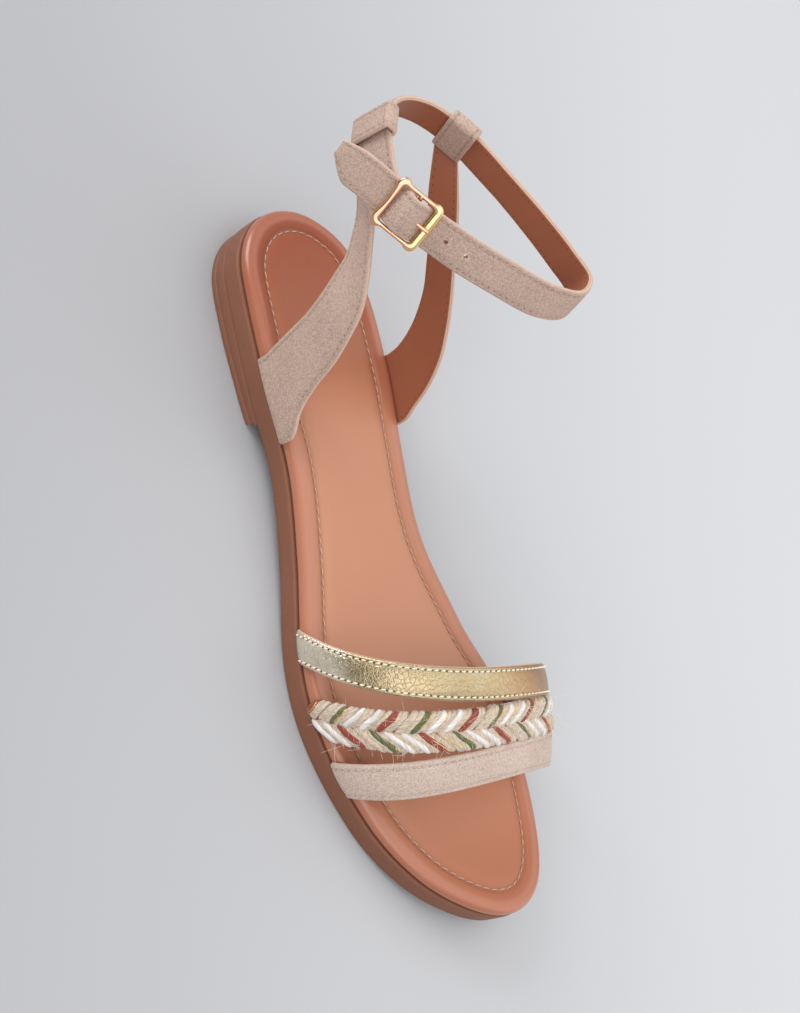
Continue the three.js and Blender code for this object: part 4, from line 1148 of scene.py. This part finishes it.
class SANDAL_OT_braid(bpy.types.Operator):
    """Braided strap: two halves of slanted cords that meet in a chevron"""
    bl_idname = "sandal.braid"
    bl_label = "Braid"

    ORDER = ["red", "plain", "green", "white", "white"]
    # Radius and flatness of the coloured cords, then sizes in millimetres
    ACCENTS = {"white": (0.95, 0.85), "red": (1.15, 0.6), "green": (1.15, 0.6)}
    BACKING = 1.2
    BACKING_INSET = 0.8
    LINING = 0.7
    HAIRS = 420

    def execute(self, context):
        sizes = context.scene.sandal_sizes
        self.make_core(opaque(context.scene.sandal_colours.lining_colour))
        self.read_surface()
        pitch, self.reach = sizes.braid_pitch / MM, sizes.braid_reach / MM
        finishes = {
            "yarn": yarn_material("jute_yarn", tint(226, 210, 190), tint(158, 134, 108), 0.9, 0.3, 0.0004),
            "white": yarn_material("white_cord", tint(236, 232, 228), tint(196, 188, 182), 0.5, 0.6, 0.0001),
            "red": yarn_material("red_cord", tint(158, 66, 44), tint(104, 38, 26), 0.55, 0.4, 0.00015),
            "green": yarn_material("green_cord", tint(104, 108, 60), tint(58, 64, 32), 0.55, 0.4, 0.00015),
            "gilt": metal_material("gold_thread", tint(226, 184, 118), 0.35),
        }
        cords = {kind: [] for kind in finishes}
        self.jitter = random.Random(11)
        start = 6.0
        count = int((self.length - 8.0 - start) / pitch)
        for half in (-1, 1):
            for i in range(count + 1):
                at = start + i * pitch + (0 if half < 0 else pitch * 0.5)
                kind = self.ORDER[(i + (0 if half < 0 else 3)) % len(self.ORDER)]
                thick, asides = (1.45, (-1.3, 0.8)) if kind == "plain" else (1.12, (-0.95, 0.75))
                for aside in asides:
                    cords["yarn"].append(self.strand("yarn", at, half, aside, thick, 0.9, 0.12))
                if kind != "plain":
                    size, flat = self.ACCENTS[kind]
                    cords[kind].append(self.strand(kind, at, half, -pitch * 0.48, size, flat, 0.75))
                if kind in ("red", "green") or i % 5 == 3:
                    cords["gilt"].append(self.strand("gilt", at, half, -pitch * 0.3, 0.24, 1.0, 1.15))
        for kind, pieces in cords.items():
            dress(finishes[kind], *pieces)
            seat(join("braid_" + kind, pieces), "braid", *(["braid_strap"] if kind == "yarn" else []))
        self.hairs()
        return {"FINISHED"}

    def make_core(self, lining):
        """Backing under the cords, and its lining."""
        self.width = FRONT["braid_strap"][0]
        width, inset = self.width - 2 * self.BACKING_INSET, self.BACKING_INSET / self.width
        shares = across_shares(width, self.BACKING)
        grid = strap_grid("braid_strap", inset + shares * (1 - 2 * inset), 110)
        core = skin("braid_backing", grid, shares, width, self.BACKING)
        dress(yarn_material("braid_backing", lining, tint(96, 60, 44), 0.8), core)
        seat(core, "braid")
        below = normals_of(grid) * (self.BACKING + self.LINING) / 2
        under = skin("braid_lining", grid - below, shares, width, self.LINING)
        dress(thread_material("braid_lining", lining, 0.6), under)
        seat(under, "braid")

    def read_surface(self):
        """The strap's middle surface as a grid over distance along it and share across it."""
        self.surface = strap_grid("braid_strap", evenly(8), 240)
        self.normal = normals_of(self.surface)
        self.along = lengths_along(self.surface[:, 4])
        self.length = self.along[-1]

    def lay(self, at, share):
        """The point and normal at a distance along the strap and a share across it."""
        i = clamp(float(np.interp(at, self.along, np.arange(len(self.along)))), 0, len(self.along) - 1.001)
        j = clamp(share * 8, 0, 7.999)
        a, b, fa, fb = int(i), int(j), i - int(i), j - int(j)
        place, normal = (mix(mix(grid[a, b], grid[a + 1, b], fa), mix(grid[a, b + 1], grid[a + 1, b + 1], fa), fb)
                         for grid in (self.surface, self.normal))
        return place, unit(normal)

    def strand(self, name, at, half, aside, size, flat, raised):
        """One cord: out from under the middle seam, over to the edge and down round it."""
        jitter = self.jitter
        path, ups, radii = [], [], []
        lift = jitter.uniform(-0.12, 0.12)
        skew = jitter.uniform(-0.5, 0.5)
        outward = unit(self.lay(at, 1.0 if half > 0 else 0.0)[0] - self.lay(at, 0.5)[0])
        brim, bend, edge, drop = self.width / 2 - 0.9, 1.15, 0.66, 0.34
        for t in evenly(16):
            over, turn = min(t / edge, 1), max(0, (t - edge) / drop) * math.pi * 0.86
            across = 0.5 + half * mix(-1.1, brim, over) / self.width
            place, normal = self.lay(at + self.reach * min(t / 0.8, 1) + aside + skew * t, across)
            bow = math.sin(math.pi * 0.5 * clamp(over * 1.5))
            height = mix(-0.75, 0.3, bow) + raised * (0.25 + 0.75 * bow) + lift
            bent = bend + height * 0.5
            path.append(place + normal * (height - bent * (1 - math.cos(turn))) + outward * bent * math.sin(turn))
            ups.append(normal * math.cos(turn) + outward * math.sin(turn))
            radii.append(size * (0.5 + 0.5 * smooth(t / 0.28)) * (1 - 0.3 * smooth((t - 0.85) / 0.15)))
        rows = tube(path, radii, 10, squash=flat, up=ups)
        around = np.tile(np.linspace(0, 2 * np.pi * size, len(rows[0])), (len(rows), 1))
        return laid(name, rows, across=around + jitter.uniform(0, 50), angle=80)

    def hairs(self):
        """Loose fibres that stand off the yarn."""
        turn = random.Random(23)
        pieces = []
        for _ in range(self.HAIRS):
            at = turn.uniform(16, self.length * 0.74)
            share = turn.choice([turn.uniform(-0.03, 0.2), turn.uniform(0.8, 1.03), turn.uniform(0.1, 0.9)])
            place, normal = self.lay(at, clamp(share))
            length = turn.uniform(1.5, 5.5) if turn.random() < 0.85 else turn.uniform(6, 12)
            heading = unit(np.array([turn.uniform(-1, 1) for _ in range(3)]) + normal * 0.5)
            curl = np.array([turn.uniform(-1, 1) for _ in range(3)]) * 0.6
            path = [place + normal * 0.9]
            for _ in range(7):
                heading = unit(heading + curl * 0.35)
                path.append(path[-1] + heading * length / 7)
            pieces.append(laid("hair", tube(path, [0.042] * 7 + [0.015], 3), angle=180))
        dress(thread_material("loose_fibre", tint(240, 230, 214), 0.8), *pieces)
        seat(join("braid_hairs", pieces), "braid")


class SANDAL_OT_quarters(bpy.types.Operator):
    """The two leaf-shaped quarters and the folds that hold the ankle strap"""
    bl_idname = "sandal.quarters"
    bl_label = "Quarters"

    LEAF_WALL = 1.6
    FOLD_WALL = 1.5
    RIM = 2.2

    def execute(self, context):
        pitch = context.scene.sandal_sizes.suede_pitch / MM
        for side, table in QUARTERS.items():
            shares, grid, from_middle, widest = self.leaf(side, table)
            pieces = [skin("quarter_leaf_" + side, grid, shares, widest, STRAP, facing=-sign_of(side),
                           across=from_middle), self.fold(side, widest)]
            dress(sandal_suede("quarter_suede_" + side, widest / 2 - SUEDE_STITCH_IN,
                               context.scene.sandal_colours), *pieces)
            seat(join("quarter_" + side + "_suede", pieces), "suede", "quarter_" + side)
            self.sew_edges(side, grid, pitch)
        return {"FINISHED"}

    def leaf(self, side, table):
        centre, run, width, _ = ANKLE.frame_at(ANKLE.mark(side + "_keeper"))
        root = centre - width * ((ANKLE_STRAP_WIDTH + STRAP + self.LEAF_WALL) / 2 + CLEARANCE)
        forward = run * -sign_of(side) * (FOLD_WIDTH / 2 - 0.4)
        widest = (table[0][2] - table[0][0]) * LENGTH
        shares = across_shares(widest, STRAP, groove=SUEDE_STITCH_IN, spacing=2.4)
        lanes = []
        for share in shares:
            points = tuck_points(mix(table[0][0], table[0][2], share) * LENGTH, side)
            for rear, rear_up, front, front_up, turn in table:
                x = mix(rear, front, share) * LENGTH
                z = mix(rear_up, front_up, share) * ANKLE_HEIGHT
                y = heel_side(x, z, side) - turn * ANKLE_WIDTH * (1 - share)
                points.append(point(x, sign_of(side) * y, z))
            points.append(root + forward * (2 * share - 1))
            lanes.append(Route(points))
        grid = np.array([[lane.at(t) for lane in lanes] for t in evenly(90)])
        return (shares, *self.even_rows(grid, shares, widest), widest)

    def even_rows(self, grid, shares, widest):
        """Keeps the rounded edge as wide as it is at the foot where the leaf gets narrow."""
        fixed, across = [], []
        edge = np.minimum(shares, 1 - shares) * widest
        inner = edge >= self.RIM
        low, high = self.RIM / widest, 1 - self.RIM / widest
        for row in grid:
            steps = lengths_along(row)
            width = steps[-1]
            at = shares * width
            if width >= 4.6:
                at = np.where(edge < self.RIM, np.where(shares < 0.5, edge, width - edge), at)
                at[inner] = self.RIM + (shares[inner] - low) / (high - low) * (width - 2 * self.RIM)
            fixed.append(at_length(at, steps, row))
            across.append(widest / 2 - np.minimum(at, width - at))
        return np.array(fixed), np.array(across)

    def fold(self, side, widest):
        """The leaf's top, folded round the ankle strap."""
        centre, run, width, out = ANKLE.frame_at(ANKLE.mark(side + "_keeper"))
        wall = self.FOLD_WALL
        path = rounded(STRAP / 2 + CLEARANCE + wall / 2, ANKLE_STRAP_WIDTH / 2 + CLEARANCE + wall / 2, 1.2, 5)
        path.append(path[0])
        shares = across_shares(FOLD_WIDTH, wall, groove=1.5)
        grid = [[centre + out * a + width * b + run * (s - 0.5) * FOLD_WIDTH for s in shares] for a, b in path]
        across = np.tile(widest / 2 - np.minimum(shares, 1 - shares) * FOLD_WIDTH, (len(grid), 1))
        return skin("fold_" + side, grid, shares, FOLD_WIDTH, wall, groove=1.5, across=across)

    def sew_edges(self, side, grid, pitch):
        normal = normals_of(grid)
        places = []
        for low in (True, False):
            lane, ups = [], []
            for row, n in zip(grid, normal):
                steps = lengths_along(row)
                at = SUEDE_STITCH_IN if low else steps[-1] - SUEDE_STITCH_IN
                lane.append(at_length(at, steps, row))
                ups.append(at_length(at, steps, n))
            lane, ups = np.array(lane), np.array(ups)
            ups = ups * math.copysign(1, sign_of(side) * ups[:, 1].mean())
            places += seam_on(lane + ups * (STRAP / 2 + 0.02), ups, pitch, 10, 4)
        sew_suede("quarter_" + side + "_stitches", places, pitch, "quarter_thread_" + side, tint(196, 170, 152))


class SANDAL_OT_ankle_strap(bpy.types.Operator):
    """Ankle strap with its pointed tip, holes and edge stitching"""
    bl_idname = "sandal.ankle_strap"
    bl_label = "Ankle strap"

    TIP_WIDTH = 4.5
    HOLE_RADIUS = 0.7
    HOLE_PITCH = 7.3
    # The rows of points lie closer together within this distance of the buckle
    NEAR_BUCKLE = 14
    CLOSE_STEP = 0.6
    WIDE_STEP = 1.6

    def execute(self, context):
        pitch = context.scene.sandal_sizes.suede_pitch / MM
        shares = across_shares(ANKLE_STRAP_WIDTH, STRAP, groove=SUEDE_STITCH_IN, spacing=1.1)
        grid, taper = [], []
        for at in self.stations():
            centre, _, width, _ = ANKLE.laid(at)
            full = mix(self.TIP_WIDTH, ANKLE_STRAP_WIDTH, smooth((at + 1) / 9) ** 0.7)
            centre = centre + width * (ANKLE_STRAP_WIDTH - full) * 0.3
            grid.append([centre + width * (s - 0.5) * full for s in shares])
            taper.append(min(1.0, (0.25 + at / 1.2) ** 0.5 if at < 1.2 else 1.0))
        grid = np.array(grid)
        strap = skin("ankle_band", grid, shares, ANKLE_STRAP_WIDTH, STRAP, groove=SUEDE_STITCH_IN, crown=0.2,
                     taper=np.array(taper), facing=-1)
        dress(sandal_suede("ankle_suede", ANKLE_STRAP_WIDTH / 2 - SUEDE_STITCH_IN,
                           context.scene.sandal_colours), strap)
        self.punch(strap)
        seat(strap, "suede", "ankle_strap")
        places = edge_seams(grid, -normals_of(grid), shares, ANKLE_STRAP_WIDTH, SUEDE_STITCH_IN, 0, pitch, 4, 6)
        sew_suede("ankle_stitches", places, pitch, "ankle_thread", tint(196, 170, 152))
        return {"FINISHED"}

    def stations(self):
        stops = [0, 0.3, 0.7, 1.2]
        while stops[-1] < ANKLE.length:
            near = abs(stops[-1] - ANKLE.buckle_at) < self.NEAR_BUCKLE
            stops.append(stops[-1] + (self.CLOSE_STEP if near else self.WIDE_STEP))
        stops[-1] = ANKLE.length
        return stops

    def punch(self, strap):
        """Cuts the punched holes through the strap, apart from those under the buckle."""
        centre_hole = ANKLE.buckle_at + BAR_OFFSET * 0.5
        for at in (centre_hole + (i - 1.5) * self.HOLE_PITCH for i in range(5)):
            if abs(at - ANKLE.buckle_at) <= BUCKLE_LENGTH / 2:
                continue
            centre, run, width, out = ANKLE.laid(at)
            deselect()
            bpy.ops.mesh.primitive_cylinder_add(vertices=20, radius=self.HOLE_RADIUS * MM, depth=8 * MM)
            cutter = bpy.context.object
            cutter.data.transform(matrix_of(run, width, out, in_frame(centre)))
            activate(strap)
            modifier = strap.modifiers.new("hole", "BOOLEAN")
            modifier.operation, modifier.object, modifier.solver = "DIFFERENCE", cutter, "EXACT"
            bpy.ops.object.modifier_apply(modifier="hole")
            bpy.data.objects.remove(cutter)


class SANDAL_OT_buckle(bpy.types.Operator):
    """Buckle frame, centre bar, prong and the thin loop that holds it"""
    bl_idname = "sandal.buckle"
    bl_label = "Buckle"

    WIRE_SIDES = 16

    def execute(self, context):
        colours = context.scene.sandal_colours
        rose = metal_material("rose_gold", opaque(colours.metal_colour), 0.16)
        yellow = metal_material("yellow_gold", opaque(colours.bar_colour), 0.14)
        ring, bar = self.frame_ring(), self.centre_bar()
        dress(rose, ring, bar)
        self.gild(ring, yellow)
        seat(join("buckle_frame_metal", [ring, bar]), "buckle_metal", "buckle_frame")
        prong = join("buckle_prong_metal", [self.prong_ring(), self.prong_rod()])
        dress(rose, prong)
        seat(prong, "buckle_metal", "buckle_prong")
        loop = self.loop()
        pale = tint(226, 204, 186)
        dress(suede_material("loop_leather", 50, pale, tint(196, 170, 150), tint(232, 210, 190), pale), loop)
        seat(loop, "suede", "buckle_loop")
        return {"FINISHED"}

    def place(self, x, y, z):
        """A point laid out flat on the buckle: x along the strap, y across it, z outwards."""
        centre, run, width, out = ANKLE.buckle
        return centre + run * x + width * y + out * z

    def frame_ring(self):
        path = rounded(BAR_OFFSET, BUCKLE_HALF - BUCKLE_RAIL / 2, 1.5, 8)
        dense = []
        for (ax, ay), (bx, by) in zip(path, path[1:] + path[:1]):
            steps = max(1, round(math.hypot(bx - ax, by - ay) / 0.5))
            dense += [(mix(ax, bx, k / steps), mix(ay, by, k / steps)) for k in range(steps)]
        rows = []
        for i in range(len(dense) + 1):
            (ax, ay), (x, y), (bx, by) = (dense[(i + step) % len(dense)] for step in (-1, 0, 1))
            out = unit(np.array([by - ay, -(bx - ax)]))
            wide, thick, aside = self.section(x, y)
            row = []
            for a in full_turn(self.WIRE_SIDES):
                ex, ez = (math.copysign(abs(v) ** 0.75, v) for v in (math.cos(a), math.sin(a)))
                ex = ex * wide + aside
                row.append(self.place(x + out[0] * ex, y + out[1] * ex, ez * thick))
            rows.append(row)
        return laid("buckle_ring", rows, fill=False, angle=60)

    def section(self, x, y):
        """Half sizes of the wire: a bold end bar, thin rails, and a bar that flares at its ends."""
        share = x / BAR_OFFSET
        flare = abs(y) / (BUCKLE_HALF - BUCKLE_RAIL / 2)
        front = smooth((share - 0.55) / 0.4)
        back = smooth((-share - 0.6) / 0.35)
        wide = mix(mix(BUCKLE_RAIL / 2, 1.4, front), mix(0.95, 1.55, flare ** 2), back)
        thick = mix(mix(0.7, 1.05, front), 0.95, back)
        return wide, thick, back * 0.5 * flare ** 2 + front * 0.2

    def gild(self, piece, yellow):
        """The front end bar is the yellower metal."""
        piece.data.materials.append(yellow)
        centre, run, _, _ = ANKLE.buckle
        middle = in_frame(centre)
        for face in piece.data.polygons:
            along = np.dot(np.array(face.center) - middle, run) / MM
            face.material_index = 1 if along > BAR_OFFSET - 1.5 else 0

    def centre_bar(self):
        half = BUCKLE_HALF - BUCKLE_RAIL * 0.6
        path = [self.place(0, y, 0) for y in np.linspace(-half, half, 14)]
        return laid("centre_bar", tube(path, CENTRE_BAR / 2, 16, up=ANKLE.buckle[3]))

    def prong_ring(self):
        radius = CENTRE_BAR / 2 + CLEARANCE + PRONG * 0.4
        rows = []
        for a in full_turn(24):
            reaches = [(radius + PRONG * 0.4 * math.cos(b), PRONG / 2 * math.sin(b)) for b in full_turn(10)]
            rows.append([self.place(r * math.cos(a), y, r * math.sin(a)) for r, y in reaches])
        return laid("prong_ring", rows, fill=False, angle=60)

    def prong_rod(self):
        rest = BUCKLE_THICKNESS / 2 + CLEARANCE + PRONG / 2
        route = Route([self.place(x, 0, z) for x, z in (
            (1.6, 0.2), (BAR_OFFSET * 0.45, rest * 0.75), (BAR_OFFSET * 0.8, rest),
            (BAR_OFFSET + BUCKLE_BAR / 2, rest - 0.1))])
        radii = [PRONG / 2 * (1 - 0.25 * t) * (1 if t < 0.96 else 0.7) for t in evenly(24)]
        return laid("prong_rod", tube([route.at(t) for t in evenly(24)], radii, 14, up=ANKLE.buckle[3]))

    def loop(self):
        """The folded strip: along one leg, round the centre bar and back along the other."""
        width = ANKLE.buckle[2]
        aside = unit(np.cross(width, ANKLE.short_run))
        shares = (1, 0.85, 0.7, 0.5, 0.3, 0.1)
        path = [(LOOP_LEG * t, LOOP_RADIUS) for t in shares]
        for k in range(17):
            a = math.pi / 2 + math.pi * k / 16
            path.append((LOOP_RADIUS * math.cos(a), LOOP_RADIUS * math.sin(a)))
        path += [(LOOP_LEG * t, -LOOP_RADIUS) for t in reversed(shares)]
        lanes = across_shares(LOOP_WIDTH, LOOP_STRIP, spacing=1.0)
        grid = [[ANKLE.before_bar(a) + aside * o + width * (s - 0.5) * LOOP_WIDTH for s in lanes]
                for a, o in path]
        return skin("loop_leather_strip", grid, lanes, LOOP_WIDTH, LOOP_STRIP)


# ---------------------------------------------------------------- stage

class SANDAL_OT_stage(bpy.types.Operator):
    """Pale floor, soft light and the camera"""
    bl_idname = "sandal.stage"
    bl_label = "Stage"

    # The camera's place in the shoe's own frame, and its right, down and ahead
    CAMERA_AT = (174.296, -393.060, 402.824)
    CAMERA_ROWS = ((0.30886, 0.68015, 0.66483), (0.94414, -0.13479, -0.30073), (-0.11493, 0.72058, -0.68378))
    LENS = 58.67
    LIGHTS_AROUND = (0.0, 0.0, 0.03)
    # Name, way from the sandal, distance and size in metres, power and colour
    LIGHTS = (
        ("key", (0.1, 0.35, 1.0), 1.5, 1.9, 8, (1, 0.985, 0.96)),
        ("side", (-1.0, -0.45, 0.4), 1.4, 0.9, 12, (0.98, 0.985, 1)),
        ("front", (0.5, -0.9, 0.9), 1.5, 1.3, 8, (1, 0.99, 0.98)),
        ("back", (0.9, 1.0, 0.4), 1.3, 1.2, 3, (1, 1, 1)),
    )

    def execute(self, context):
        self.camera(context)
        self.floor()
        self.sky(context)
        self.lights()
        context.scene.view_settings.view_transform = "Standard"
        return {"FINISHED"}

    def camera(self, context):
        data = bpy.data.cameras.new("camera")
        data.lens, data.sensor_width, data.clip_start, data.clip_end = self.LENS, 36, 0.01, 20
        camera = link("camera", data)
        right, down, ahead = (unit(np.array(row)) for row in self.CAMERA_ROWS)
        camera.matrix_world = matrix_of(right, -down, -ahead, in_frame(self.CAMERA_AT))
        context.scene.camera = camera

    def floor(self):
        deselect()
        bpy.ops.mesh.primitive_plane_add(size=6)
        floor = bpy.context.object
        floor.name = "floor"
        m = Finish("floor_paper")
        x, y, _ = m.parts(m.coords)
        # Painted shade: the floor darkens from 196 to 157 along x * 0.44 + y * 0.9, towards the left of the
        # camera's view, standing for the light falling off; the faint cloud is the paper's own tone.
        shaded_paper = m.tone((x * 0.44 + y * 0.9).ease(-0.28, 0.3), tint(157, 157, 160), tint(196, 197, 199))
        cloud = m.noise(m.coords, 3) * 0.1
        dress(m.shaded(Base_Color=m.tone(cloud, shaded_paper, tint(210, 211, 213)), Roughness=0.85,
                       Specular_IOR_Level=0.2), floor)

    def sky(self, context):
        """A pale room, darker low down, with one dark patch that the gold and the metal mirror."""
        world = bpy.data.worlds.new("studio")
        context.scene.world = world
        world.use_nodes = True
        nodes = Nodes(world.node_tree)
        way = nodes.put("TexCoord", output="Generated")
        toward = nodes.put("VectorMath", {"operation": "DOT_PRODUCT"}, {0: way, 1: (-0.15, -0.98, 0.12)},
                           output="Value")
        shade = toward.ease(0.94, 0.985, 1.0, 0.02) * nodes.parts(way)[2].spread(0.0, 0.8, 0.55, 1.0)
        nodes.fill(nodes.tree.nodes["Background"], {0: (0.97, 0.98, 1.0, 1), 1: shade * 0.86})

    def lights(self):
        for name, way, distance, size, power, colour in self.LIGHTS:
            data = bpy.data.lights.new(name, "AREA")
            data.energy, data.size, data.color = power, size, colour
            z = unit(np.array(way))
            x = unit(np.cross(UP, z))
            link(name, data).matrix_world = matrix_of(x, np.cross(z, x), z, self.LIGHTS_AROUND + z * distance)


PIECES = (
    SANDAL_OT_sole, SANDAL_OT_footbed, SANDAL_OT_gold_strap, SANDAL_OT_braid, SANDAL_OT_toe_strap,
    SANDAL_OT_quarters, SANDAL_OT_ankle_strap, SANDAL_OT_buckle, SANDAL_OT_stage,
)


class SANDAL_PT_panel(bpy.types.Panel):
    """Lists the pieces and their settings"""
    bl_label = "Sandal"
    bl_idname = "SANDAL_PT_panel"
    bl_space_type = "VIEW_3D"
    bl_region_type = "UI"
    bl_category = "Sandal"

    def draw(self, context):
        column = self.layout.column(align=True)
        for piece in PIECES:
            column.operator(piece.bl_idname)
        for settings in (context.scene.sandal_sizes, context.scene.sandal_colours):
            box = self.layout.box()
            for key in settings.__annotations__:
                box.prop(settings, key)


CLASSES = (SandalSizes, SandalColours) + PIECES + (SANDAL_PT_panel,)


def register():
    for made in CLASSES:
        bpy.utils.register_class(made)
    bpy.types.Scene.sandal_sizes = bpy.props.PointerProperty(type=SandalSizes)
    bpy.types.Scene.sandal_colours = bpy.props.PointerProperty(type=SandalColours)


def unregister():
    del bpy.types.Scene.sandal_sizes
    del bpy.types.Scene.sandal_colours
    for made in reversed(CLASSES):
        bpy.utils.unregister_class(made)


def main():
    register()
    bpy.ops.sandal.sole()
    bpy.ops.sandal.footbed()
    bpy.ops.sandal.gold_strap()
    bpy.ops.sandal.braid()
    bpy.ops.sandal.toe_strap()
    bpy.ops.sandal.quarters()
    bpy.ops.sandal.ankle_strap()
    bpy.ops.sandal.buckle()
    bpy.ops.sandal.stage()


if __name__ == "__main__":
    main()
